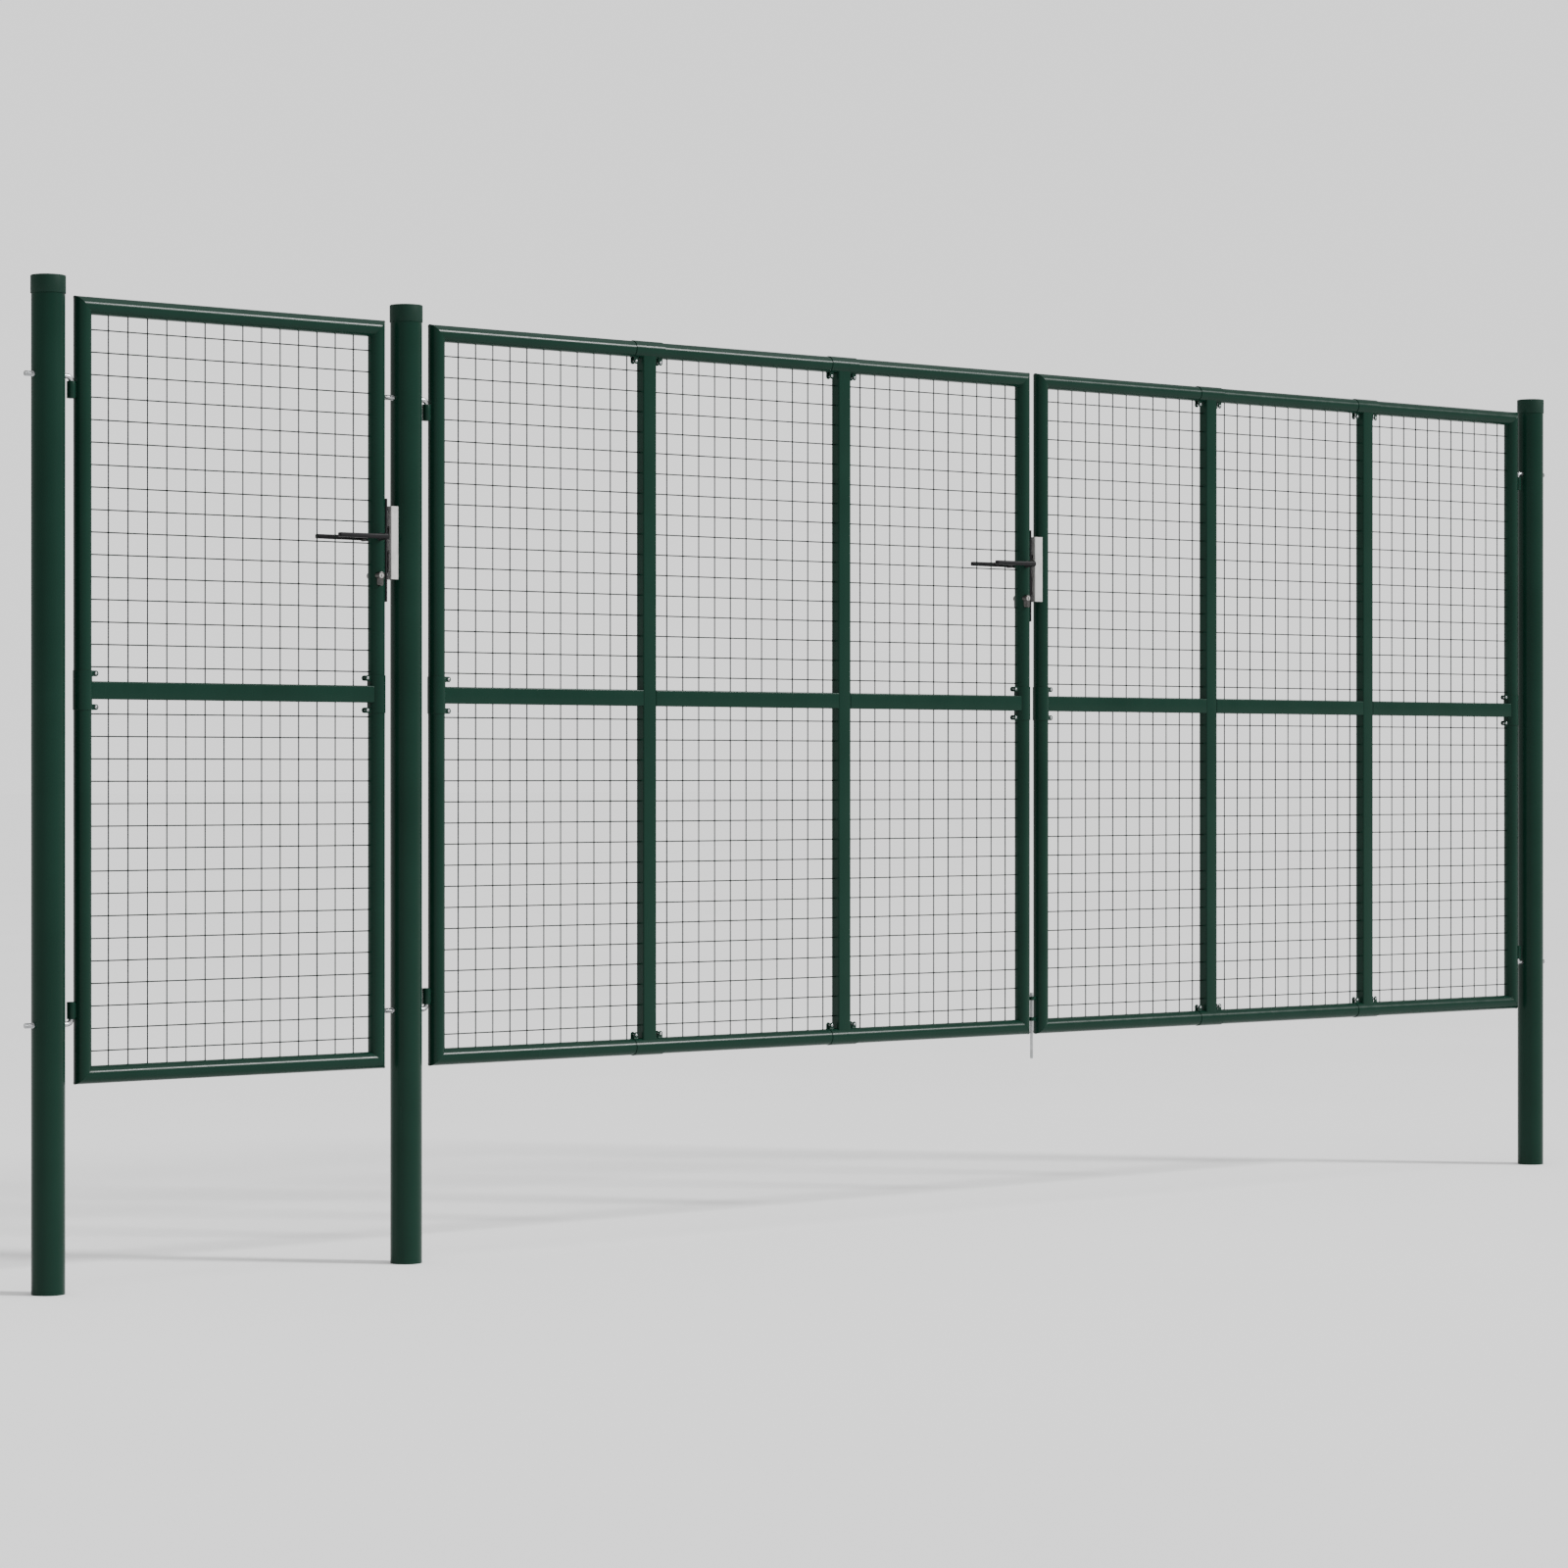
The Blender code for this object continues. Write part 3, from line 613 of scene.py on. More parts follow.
@dataclass(frozen=True)
class PowderCoat:
    """Powder coat on steel: an even colour with a fine orange peel and faint handling marks.

    Attributes:
        name: The material's name.
        colour: Its colour.
        light: A slightly lighter tone of it.
        roughness: Its lowest and highest roughness.
        peel: Fineness of the orange peel, in bumps to a metre.
        peel_depth: Depth of the orange peel.
        gloss: Strength of its reflections.
        cloud: Fineness of the slow change between the tones.
        speck: Fineness of the lighter specks.
        speck_share: How much of the lighter tone a speck shows.
        rub: Fineness of the handling marks along X, Y and Z.
        bump: How strongly the orange peel and the grain on it show.
    """

    name: str
    colour: Colour
    light: Colour
    roughness: tuple[float, float] = (0.21, 0.28)
    peel: float = 420.0
    peel_depth: float = 0.00012
    gloss: float = 0.10
    cloud: float = 2.3
    speck: float = 1900.0
    speck_share: float = 0.16
    rub: Point = (38.0, 38.0, 5.0)
    bump: tuple[float, float] = (0.35, 0.25)

    def make(self) -> Material:
        """Builds the material.

        Returns:
            The material.
        """
        recipe = Recipe(self.name)
        cloud = recipe.noise(self.cloud, 4.0)
        tone = recipe.tones(cloud, self.colour, self.light, self.colour)
        speck = recipe.spread(recipe.noise(self.speck, 1.0), 0.0, self.speck_share)
        tone = recipe.over(tone, self.light, speck)
        rub = recipe.noise(1.0, 5.0, recipe.stretched(self.rub))
        rough = recipe.spread(rub, *self.roughness)
        peel = recipe.relief(recipe.noise(self.peel, 2.0), self.peel_depth, self.bump[0])
        fine = recipe.noise(self.peel * 6, 1.0)
        grain = recipe.relief(fine, self.peel_depth / 4, self.bump[1], peel)
        recipe.feed(
            recipe.shader,
            base_color=tone,
            roughness=rough,
            normal=grain,
            specular_ior_level=self.gloss,
        )
        return recipe.material


@dataclass(frozen=True)
class MouldedPlastic:
    """Moulded plastic with a fine spark-eroded grain.

    Attributes:
        name: The material's name.
        colour: Its colour.
        light: A slightly lighter tone of it.
        roughness: Its lowest and highest roughness.
        gloss: Strength of its reflections.
        cloud: Fineness of the slow change between the tones.
        speck: Fineness of the lighter specks.
        speck_share: How much of the lighter tone a speck shows.
        rub: Fineness of the change in roughness.
        grain: Fineness of the grain, in cells to a metre.
        grain_depth: Depth of the grain.
        bump: How strongly the grain shows.
    """

    name: str
    colour: Colour
    light: Colour
    roughness: tuple[float, float] = (0.46, 0.58)
    gloss: float = 0.12
    cloud: float = 4.0
    speck: float = 1400.0
    speck_share: float = 0.22
    rub: float = 60.0
    grain: float = 1500.0
    grain_depth: float = 0.00006
    bump: float = 0.3

    def make(self) -> Material:
        """Builds the material.

        Returns:
            The material.
        """
        recipe = Recipe(self.name)
        tone = recipe.tones(recipe.noise(self.cloud), self.colour, self.light)
        speck = recipe.spread(recipe.noise(self.speck, 2.0), 0.0, self.speck_share)
        tone = recipe.over(tone, self.light, speck)
        rough = recipe.spread(recipe.noise(self.rub), *self.roughness)
        cells = recipe.node("ShaderNodeTexVoronoi")
        recipe.feed(cells, vector=recipe.place, scale=self.grain)
        grain = recipe.relief(cells.outputs["Distance"], self.grain_depth, self.bump)
        recipe.feed(
            recipe.shader,
            base_color=tone,
            roughness=rough,
            normal=grain,
            specular_ior_level=self.gloss,
        )
        return recipe.material


@dataclass(frozen=True)
class BareMetal:
    """Bare or plated metal with drawn lines or a crystal pattern.

    Attributes:
        name: The material's name.
        colour: Its colour.
        shade: A darker tone of it.
        roughness: Its lowest and highest roughness.
        lines: Fineness of the drawn lines along X, Y and Z.
        line_depth: Depth of the drawn lines.
        crystals: Fineness of the crystals, or 0 for none.
        metallic: How much of it shows as bare metal.
        cloud: Fineness of the change between the tones.
        crystal_share: How much of the darker tone the crystals show.
        bump: How strongly the drawn lines show.
    """

    name: str
    colour: Colour
    shade: Colour
    roughness: tuple[float, float]
    lines: Point
    line_depth: float = 0.00003
    crystals: float = 0.0
    metallic: float = 1.0
    cloud: float = 28.0
    crystal_share: float = 0.35
    bump: float = 0.4

    def make(self) -> Material:
        """Builds the material.

        Returns:
            The material.
        """
        recipe = Recipe(self.name)
        drawn = recipe.noise(1.0, 4.0, recipe.stretched(self.lines))
        cloud = recipe.noise(self.cloud, 5.0)
        tone = recipe.tones(cloud, self.shade, self.colour, self.colour)
        if self.crystals:
            cells = recipe.node("ShaderNodeTexVoronoi")
            recipe.feed(cells, vector=recipe.place, scale=self.crystals)
            share = recipe.spread(cells.outputs["Distance"], 0.0, self.crystal_share)
            tone = recipe.over(tone, self.shade, share)
        rough = recipe.spread(drawn, *self.roughness)
        scratch = recipe.relief(drawn, self.line_depth, self.bump)
        recipe.feed(
            recipe.shader,
            base_color=tone,
            roughness=rough,
            normal=scratch,
            metallic=self.metallic,
        )
        return recipe.material


@dataclass(frozen=True)
class StudioFloor:
    """A pale, matt studio floor.

    Attributes:
        name: The material's name.
        colour: Its colour.
        lift: How much lighter its lighter tone is.
        cloud: Fineness of the change between the tones.
        roughness: Its roughness.
        gloss: Strength of its reflections.
    """

    name: str
    colour: Colour
    lift: float = 1.02
    cloud: float = 0.7
    roughness: float = 0.9
    gloss: float = 0.1

    def make(self) -> Material:
        """Builds the material.

        Returns:
            The material.
        """
        recipe = Recipe(self.name)
        light = tuple(min(1.0, channel * self.lift) for channel in self.colour)
        recipe.feed(
            recipe.shader,
            base_color=recipe.tones(recipe.noise(self.cloud), self.colour, light),
            roughness=self.roughness,
            specular_ior_level=self.gloss,
        )
        return recipe.material


class Finish(Enum):
    """Each finish of the gate set, with the record's slot that it belongs to."""

    GREEN = (
        "green_paint",
        PowderCoat("moss_green_powder_coat", (0.0040, 0.0205, 0.0130), (0.0052, 0.0240, 0.0156)),
    )
    WIRE = (
        "mesh_paint",
        PowderCoat(
            "moss_green_wire_coat",
            (0.0030, 0.0070, 0.0055),
            (0.004, 0.009, 0.007),
            roughness=(0.42, 0.55),
            peel=900.0,
            peel_depth=0.00006,
            gloss=0.08,
        ),
    )
    CAP = (
        "cap_plastic",
        MouldedPlastic(
            "moss_green_cap_plastic", (0.0042, 0.0200, 0.0130), (0.0056, 0.0245, 0.0162)
        ),
    )
    BLACK = (
        "black_coat",
        PowderCoat(
            "black_lock_coat",
            (0.006, 0.006, 0.0065),
            (0.010, 0.010, 0.011),
            roughness=(0.38, 0.52),
            peel=700.0,
            peel_depth=0.00008,
            gloss=0.12,
        ),
    )
    ZINC = (
        "zinc_plate",
        BareMetal(
            "bright_zinc_plate",
            (0.44, 0.45, 0.455),
            (0.31, 0.32, 0.33),
            roughness=(0.24, 0.40),
            lines=(60.0, 60.0, 60.0),
            line_depth=0.00002,
            crystals=420.0,
        ),
    )
    STAINLESS = (
        "stainless",
        BareMetal(
            "brushed_stainless_sheet",
            (0.50, 0.495, 0.485),
            (0.40, 0.395, 0.385),
            roughness=(0.38, 0.52),
            lines=(900.0, 900.0, 14.0),
            metallic=0.55,
        ),
    )
    NICKEL = (
        "nickel_plate",
        BareMetal(
            "satin_nickel_plate",
            (0.58, 0.57, 0.55),
            (0.46, 0.455, 0.44),
            roughness=(0.20, 0.32),
            lines=(240.0, 240.0, 240.0),
            line_depth=0.00001,
        ),
    )
    # The same nickel plate with its colours darkened: painted shade and painted dark reflections
    # for the key cylinder's body.
    DARK_NICKEL = (
        "nickel_plate",
        BareMetal(
            "dark_nickel_plate",
            (0.085, 0.083, 0.080),
            (0.060, 0.059, 0.057),
            roughness=(0.24, 0.38),
            lines=(240.0, 240.0, 240.0),
            line_depth=0.00001,
        ),
    )

    @property
    def slot(self) -> str:
        """The record's material slot."""
        return self.value[0]


class Workshop:
    """Dresses finished pieces and hangs them on the model's bodies."""

    def __init__(self) -> None:
        """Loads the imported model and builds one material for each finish."""
        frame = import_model()
        self.joints = {joint["name"]: joint for joint in frame["joints"]}
        self.materials = {finish: finish.value[1].make() for finish in Finish}

    def deliver(self, piece: Piece, finish: Finish, body: str, *nodes: str) -> Piece:
        """Paints a piece, lets it move with a body and hides the nodes that it stands for.

        Args:
            piece: The finished piece.
            finish: What it is coated or made with.
            body: The body that carries it.
            *nodes: The nodes that it replaces.

        Returns:
            The piece.
        """
        piece.data.materials.clear()
        piece.data.materials.append(self.materials[finish])
        for face in piece.data.polygons:
            face.material_index = 0
        pick(piece)
        bpy.ops.object.shade_smooth_by_angle(angle=SMOOTH_ANGLE)
        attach(piece, body)
        if nodes:
            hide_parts(*nodes)
        log.info("%s: %d faces, on %s", piece.name, len(piece.data.polygons), body)
        return piece


# ---------------------------------------------------------------------------------------------
# Posts
# ---------------------------------------------------------------------------------------------


@dataclass
class Post:
    """A round tube post with its cap.

    Attributes:
        name: left, middle or right.
        drilled: Heights of the hinge bolts that pass through it.
        wall: Wall of the tube.
        drill: Radius of the holes.
        sides: Number of sides of the tube.
        cap_edge: Radius of the cap's upper edge.
        cap_foot: Radius of the cap's lower edge.
        cap_lip: Wall of the cap.
        dish: Depth of the shallow dish in the cap's top.
        dish_inset: Distance from the cap's edge to the dish, as a share of the cap's radius.
    """

    name: str
    drilled: tuple[float, ...]
    wall: float = 0.002
    drill: float = 0.0062
    sides: int = 96
    cap_edge: float = 0.0016
    cap_foot: float = 0.0004
    cap_lip: float = 0.0012
    dish: float = 0.0004
    dish_inset: float = 0.12

    def build(self, shop: Workshop) -> None:
        """Makes the tube and the cap.

        Args:
            shop: Where they are dressed.
        """
        node = f"post_{self.name}"
        low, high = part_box(node)
        centre = (low + high) / 2
        radius = (high.x - low.x) / 2
        span = (low.z, high.z)
        tube = round_bar(f"{node}_tube", radius, Along.Z, centre.xy, span, self.sides, capped=False)
        thicken(tube, self.wall)
        reach = (centre.x - 2 * radius, centre.x + 2 * radius)
        for height in self.drilled:
            drill = round_bar("drill", self.drill, Along.X, (centre.y, height), reach)
            combine(tube, "DIFFERENCE", drill)
        shop.deliver(tube, Finish.GREEN, "root", node)
        self.build_cap(shop, high.z)

    def build_cap(self, shop: Workshop, tube_top: float) -> None:
        """Makes the cup-shaped cap.

        Args:
            shop: Where it is dressed.
            tube_top: Height of the tube's upper end, which the cap sits on.
        """
        node = f"post_cap_{self.name}"
        low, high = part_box(node)
        centre = (low + high) / 2
        radius = (high.x - low.x) / 2
        span = (low.z, high.z)
        cap = round_bar(f"{node}_moulding", radius, Along.Z, centre.xy, span, self.sides)
        rim = high.z - FIT
        with editing(cap):
            choose(cap, "faces", lambda face: face.normal.z < -0.9)
            bpy.ops.mesh.inset(thickness=self.cap_lip)
            rise = tube_top + FIT - low.z
            bpy.ops.mesh.extrude_region_move(TRANSFORM_OT_translate={"value": (0.0, 0.0, rise)})
            choose(
                cap,
                "faces",
                lambda face: face.normal.z > 0.9 and face.calc_center_median().z > rim,
            )
            bpy.ops.mesh.inset(thickness=radius * self.dish_inset)
            bpy.ops.mesh.inset(thickness=self.dish * 2)
            bpy.ops.transform.translate(value=(0.0, 0.0, -self.dish))

        def at_radius(edge: bmesh.types.BMEdge, share: float) -> bool:
            """Whether an edge lies beyond a share of the cap's radius."""
            return (middle(edge).xy - centre.xy).length > radius * share

        bevel_chosen(
            cap,
            "edges",
            self.cap_edge,
            5,
            lambda edge: middle(edge).z > rim and at_radius(edge, 0.97),
        )
        bevel_chosen(
            cap,
            "edges",
            self.cap_foot,
            2,
            lambda edge: middle(edge).z < low.z + FIT and at_radius(edge, 0.985),
        )
        shop.deliver(cap, Finish.CAP, "root", node)


# ---------------------------------------------------------------------------------------------
# Hinges
# ---------------------------------------------------------------------------------------------


@dataclass
class HingeBolt:
    """A threaded rod through a post, bent into the pin of a knuckle.

    Attributes:
        leaf: Name of its leaf in the nodes.
        position: upper or lower.
        pin_x: Where the pin's axis is.
        post_x: Where the post's axis is.
        radius: Radius of the rod.
        bend: Radius of the bend's centre line.
        pitch: Pitch of the thread.
        root: Radius at the thread's root, as a share of the rod's.
        crest: Length of a thread's crest, as a share of what its slopes leave of the pitch.
        threaded: Length of the thread.
        bend_steps: Number of straight steps in the bend.
        tip: Bevel of the pin's end.
    """

    leaf: str
    position: str
    pin_x: float
    post_x: float
    radius: float = 0.006
    bend: float = 0.0115
    pitch: float = 0.00175
    root: float = 0.88
    crest: float = 0.4
    threaded: float = 0.0350
    bend_steps: int = 12
    tip: float = 0.0009

    @property
    def node(self) -> str:
        """The rod's node."""
        return f"hinge_rod_{self.leaf}_{self.position}"

    @property
    def side(self) -> int:
        """+1 where the rod is above its knuckle, or -1 where it is below."""
        return 1 if self.position == "upper" else -1

    @property
    def height(self) -> float:
        """Height of the straight rod's axis."""
        low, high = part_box(self.node)
        return high.z - self.radius if self.side > 0 else low.z + self.radius

    def build(self, shop: Workshop) -> None:
        """Makes the bent rod with its thread.

        Args:
            shop: Where it is dressed.
        """
        low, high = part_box(self.node)
        reach = 1 if self.pin_x > self.post_x else -1
        pin_end = low.z if self.side > 0 else high.z
        outer_end = low.x if reach > 0 else high.x
        thread_start = outer_end + reach * self.threaded
        points = [(thread_start, self.height)]
        for step in range(self.bend_steps + 1):
            turn = math.pi / 2 * step / self.bend_steps
            x = self.pin_x - reach * self.bend * (1 - math.sin(turn))
            z = self.height - self.side * self.bend * (1 - math.cos(turn))
            points.append((x, z))
        points.append((self.pin_x, pin_end))
        rod = self.bent_bar(points)
        bevel_chosen(
            rod, "edges", self.tip, 2, lambda edge: abs(middle(edge).z - pin_end) < FIT / 2
        )
        thread = self.thread(outer_end, thread_start)
        shop.deliver(fuse(f"{self.node}_bolt", rod, thread), Finish.ZINC, "root", self.node)

    def bent_bar(self, points: list[tuple[float, float]]) -> Piece:
        """A round bar that is bent in the XZ plane.

        Args:
            points: X and Z of the points that its axis passes through.

        Returns:
            The bar.
        """
        bpy.ops.object.select_all(action="DESELECT")
        bpy.ops.curve.primitive_nurbs_path_add()
        path = bpy.context.view_layer.objects.active
        path.data.splines.clear()
        spline = path.data.splines.new("POLY")
        spline.points.add(len(points) - 1)
        for point, (x, z) in zip(spline.points, points):
            point.co = (x, 0.0, z, 1.0)
        path.data.dimensions = "3D"
        path.data.bevel_depth = self.radius
        path.data.bevel_resolution = 7
        path.data.use_fill_caps = True
        pick(path)
        bpy.ops.object.convert(target="MESH")
        bar = settle("rod")
        with editing(bar, "VERT"):
            bpy.ops.mesh.select_all(action="SELECT")
            bpy.ops.mesh.remove_doubles(threshold=1e-6)
            bpy.ops.mesh.normals_make_consistent(inside=False)
        return bar

    def thread(self, outer_end: float, start: float) -> Piece:
        """The threaded end, as a stack of grooves with a chamfered tip.

        Args:
            outer_end: Where the tip is.
            start: Where the thread runs out into the plain rod.

        Returns:
            The thread.
        """
        direction = 1 if start > outer_end else -1
        slope = self.radius * (1 - self.root)
        flat = (self.pitch - 2 * slope) * direction
        grooves = int((abs(start - outer_end) - slope) / self.pitch)
        stub = round_bar(
            "thread",
            self.radius * self.root,
            Along.X,
            (0.0, self.height),
            (outer_end, outer_end + direction * FIT),
        )
        with editing(stub):
            choose(stub, "faces", lambda face: face.normal.x * direction > 0.9)
            for _ in range(grooves):
                self.step(slope * direction, 1 / self.root)
                self.step(flat * self.crest, 1.0)
                self.step(slope * direction, self.root)
                self.step(flat * (1 - self.crest), 1.0)
        return stub

    @staticmethod
    def step(distance: float, scale: float) -> None:
        """Draws the chosen end on along X, and widens or narrows it.

        Args:
            distance: How far it is drawn.
            scale: How much wider it ends.
        """
        bpy.ops.mesh.extrude_region_move(TRANSFORM_OT_translate={"value": (distance, 0.0, 0.0)})
        if scale != 1.0:
            bpy.ops.transform.resize(value=(1.0, scale, scale))


@dataclass
class Knuckle:
    """A short barrel welded to a hinge stile, which turns on the pin.

    Attributes:
        body: The leaf's body.
        bolt: The hinge bolt whose pin it turns on.
        stile_x: Where the stile's axis is.
        radius: Outer radius.
        bore: Radius of the bore.
        length: Length of the barrel.
        below_rod: Distance from the rod's axis to the barrel's middle.
        bead: Radius of the weld bead.
        edge: Radius of the barrel's edges.
        sides: Number of sides of the barrel.
    """

    body: str
    bolt: HingeBolt
    stile_x: float
    radius: float = 0.010
    bore: float = 0.0063
    length: float = 0.038
    below_rod: float = 0.030
    bead: float = 0.0016
    edge: float = 0.0006
    sides: int = 48

    def build(self, shop: Workshop, stile_radius: float) -> None:
        """Makes the barrel and its two weld beads.

        Args:
            shop: Where they are dressed.
            stile_radius: Radius of the stile.
        """
        centre_z = self.bolt.height - self.bolt.side * self.below_rod
        ends = (centre_z - self.length / 2, centre_z + self.length / 2)
        past = (ends[0] - FIT, ends[1] + FIT)
        place = (self.bolt.pin_x, 0.0)
        barrel = round_bar("barrel", self.radius, Along.Z, place, ends, self.sides)
        stile = round_bar("stile", stile_radius - FIT, Along.Z, (self.stile_x, 0.0), past, 64)
        bore = round_bar("bore", self.bore, Along.Z, place, past, self.sides)
        combine(barrel, "DIFFERENCE", stile, bore)
        soften(barrel, self.edge)
        span = self.stile_x - self.bolt.pin_x
        along_span = (span**2 + self.radius**2 - stile_radius**2) / (2 * span)
        offset = math.sqrt(self.radius**2 - along_span**2) + self.bead / 3
        bead_x = self.bolt.pin_x + along_span
        bead_ends = (ends[0] + 2 * self.bead, ends[1] - 2 * self.bead)
        beads = []
        for side in (-1, 1):
            bead = round_bar("bead", self.bead, Along.Z, (bead_x, side * offset), bead_ends, 16)
            beads.append(soften(bead, self.bead * 0.9, 3))
        name = f"hinge_knuckle_{self.bolt.leaf}_{self.bolt.position}"
        shop.deliver(fuse(name, barrel, *beads), Finish.GREEN, self.body)


# ---------------------------------------------------------------------------------------------
# Leaf frames, inner bars and mesh
# ---------------------------------------------------------------------------------------------


@dataclass
class LeafFrame:
    """Two stiles and two rails of round tube with mitred and welded corners.

    Attributes:
        leaf: Name of the leaf in the nodes.
        body: The leaf's body.
        wall: Wall of the tube.
        sides: Number of sides of a tube.
        bead: Radius of the dressed weld at a corner.
    """

    leaf: str
    body: str
    wall: float = 0.0015
    sides: int = 64
    bead: float = 0.0008

    def __post_init__(self) -> None:
        """Reads the frame's outline from the rails' boxes."""
        self.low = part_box(f"{self.leaf}_rail_bottom")[0]
        self.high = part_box(f"{self.leaf}_rail_top")[1]
        self.radius = self.high.y
        self.left = self.low.x - FIT + self.radius
        self.right = self.high.x + FIT - self.radius
        self.bottom = self.low.z + self.radius
        self.top = self.high.z - self.radius
        hinge_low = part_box(f"{self.leaf}_hinge_stile")[0]
        self.hinge_is_left = hinge_low.x < (self.left + self.right) / 2

    @property
    def hinge_x(self) -> float:
        """Where the hinge stile's axis is."""
        return self.left if self.hinge_is_left else self.right

    @property
    def free_x(self) -> float:
        """Where the free stile's axis is."""
        return self.right if self.hinge_is_left else self.left

    def mitred(
        self,
        name: str,
        along: Along,
        across: tuple[float, float],
        ends: tuple[float, float],
        inwards: int,
    ) -> Piece:
        """A tube whose two ends are cut at 45 degrees.

        Args:
            name: The tube's name.
            along: Its direction, X or Z.
            across: Its axis's two other coordinates.
            ends: Where its axis meets the axes of its neighbours.
            inwards: +1 if the frame's inside is on the tube's positive side, or -1.

        Returns:
            The tube.
        """
        spare = 2 * self.radius
        rough_ends = (ends[0] - spare, ends[1] + spare)
        tube = round_bar(name, self.radius, along, across, rough_ends, self.sides, capped=False)
        for end, outwards in ((ends[0], -1), (ends[1], 1)):
            point = along.point(across, end)
            if along is Along.Z:
                normal = Vector((inwards, 0.0, outwards))
            else:
                normal = Vector((outwards, 0.0, inwards))
            normal.normalize()
            with editing(tube):
                bpy.ops.mesh.select_all(action="SELECT")
                bpy.ops.mesh.bisect(plane_co=point, plane_no=normal, clear_outer=True)
        return thicken(tube, self.wall)

    def build(self, shop: Workshop, prepare: Callable[[Piece], None] | None = None) -> None:
        """Makes the four tubes and the dressed welds.

        Args:
            shop: Where they are dressed.
            prepare: Cuts the free stile for its lock, where it has one.
        """
        uprights = (self.bottom, self.top)
        spans = (self.left, self.right)
        for x, inwards in ((self.left, 1), (self.right, -1)):
            part = "hinge_stile" if x == self.hinge_x else "free_stile"
            stile = self.mitred(f"{self.leaf}_{part}_tube", Along.Z, (x, 0.0), uprights, inwards)
            if prepare is not None and part == "free_stile":
                prepare(stile)
            shop.deliver(stile, Finish.GREEN, self.body, f"{self.leaf}_{part}")
        for part, z, inwards in (("rail_bottom", self.bottom, 1), ("rail_top", self.top, -1)):
            rail = self.mitred(f"{self.leaf}_{part}_tube", Along.X, (0.0, z), spans, inwards)
            shop.deliver(rail, Finish.GREEN, self.body, f"{self.leaf}_{part}")
        shop.deliver(self.corner_welds(), Finish.GREEN, self.body)

    def corner_welds(self) -> Piece:
        """The four dressed welds, each an oval ring along its mitre.

        Returns:
            The welds.
        """
        rings = []
        for z in (self.bottom, self.top):
            for x in (self.left, self.right):
                rising = (x == self.left) == (z == self.bottom)
                ring = primitive(
                    "weld",
                    bpy.ops.mesh.primitive_torus_add,
                    major_radius=self.radius - self.bead * 0.55,
                    minor_radius=self.bead,
                    major_segments=self.sides,
                    minor_segments=8,
                )
                oval = Matrix.Diagonal((math.sqrt(2), 1.0, 1.0, 1.0))
                turn = Matrix.Rotation(math.radians(-45 if rising else 45), 4, "Y")
                ring.data.transform(Matrix.Translation((x, 0.0, z)) @ turn @ oval)
                rings.append(ring)
        return fuse(f"{self.leaf}_corner_welds", *rings)


@dataclass
class InnerBars:
    """The mid rail and the mullions of a leaf, in rectangular tube with rounded corners.

    Attributes:
        frame: The leaf's frame.
        mullions: How many mullions it has.
        width: Width of a bar, seen from the front.
        depth: Depth of a bar, from front to back.
        corner: Radius of its corners.
        sheet: Wall of the saddles that the bars end at.
    """

    frame: LeafFrame
    mullions: int
    width: float = 0.040
    depth: float = 0.030
    corner: float = 0.0032
    sheet: float = 0.0013

    @property
    def rail_z(self) -> float:
        """Height of the mid rail's axis."""
        return mid(f"{self.frame.leaf}_mid_rail", Along.Z)

    def mullion_x(self, number: int) -> float:
        """Where a mullion's axis is."""
        return mid(f"{self.frame.leaf}_mullion_{number}", Along.X)

    def bar(self, name: str, along: Along, centre: float, ends: tuple[float, float]) -> Piece:
        """A bar with rounded long edges.

        Args:
            name: The bar's name.
            along: Its direction, X or Z.
            centre: Its axis's height or X.
            ends: Where it starts and stops.

        Returns:
            The bar.
        """
        half, deep = self.width / 2, self.depth / 2
        if along is Along.Z:
            made = block(name, (centre - half, -deep, ends[0]), (centre + half, deep, ends[1]))
        else:
            made = block(name, (ends[0], -deep, centre - half), (ends[1], deep, centre + half))
        length = ends[1] - ends[0]
        bevel_chosen(made, "edges", self.corner, 5, lambda edge: run(edge, along) > length / 2)
        return made

    def cope(self, bar: Piece, along: Along, across: tuple[float, float], centre: float) -> None:
        """Shapes a bar's end to the saddle round a frame tube.

        Args:
            bar: The bar.
            along: The frame tube's direction.
            across: The frame tube's axis.
            centre: Where the bar's axis meets the tube.
        """
        radius = self.frame.radius + FIT + self.sheet / 2
        ends = (centre - self.width, centre + self.width)
        combine(bar, "DIFFERENCE", round_bar("cope", radius, along, across, ends, 64))

    def build(self, shop: Workshop) -> None:
        """Makes the mullions, and the mid rail in one length for each bay.

        Args:
            shop: Where they are dressed.
        """
        frame, z = self.frame, self.rail_z
        places = [self.mullion_x(i + 1) for i in range(self.mullions)]
        for number, x in enumerate(places, start=1):
            node = f"{frame.leaf}_mullion_{number}"
            mullion = self.bar(f"{node}_bar", Along.Z, x, (frame.bottom, frame.top))
            self.cope(mullion, Along.X, (0.0, frame.bottom), x)
            self.cope(mullion, Along.X, (0.0, frame.top), x)
            shop.deliver(mullion, Finish.GREEN, frame.body, node)
        stops = [frame.left]
        for x in places:
            stops += [x - self.width / 2, x + self.width / 2]
        stops.append(frame.right)
        lengths = []
        for low, high in zip(stops[::2], stops[1::2]):
            length = self.bar("length", Along.X, z, (low, high))
            if low == frame.left:
                self.cope(length, Along.Z, (frame.left, 0.0), z)
            if high == frame.right:
                self.cope(length, Along.Z, (frame.right, 0.0), z)
            lengths.append(length)
        node = f"{frame.leaf}_mid_rail"
        shop.deliver(fuse(f"{node}_bar", *lengths), Finish.GREEN, frame.body, node)


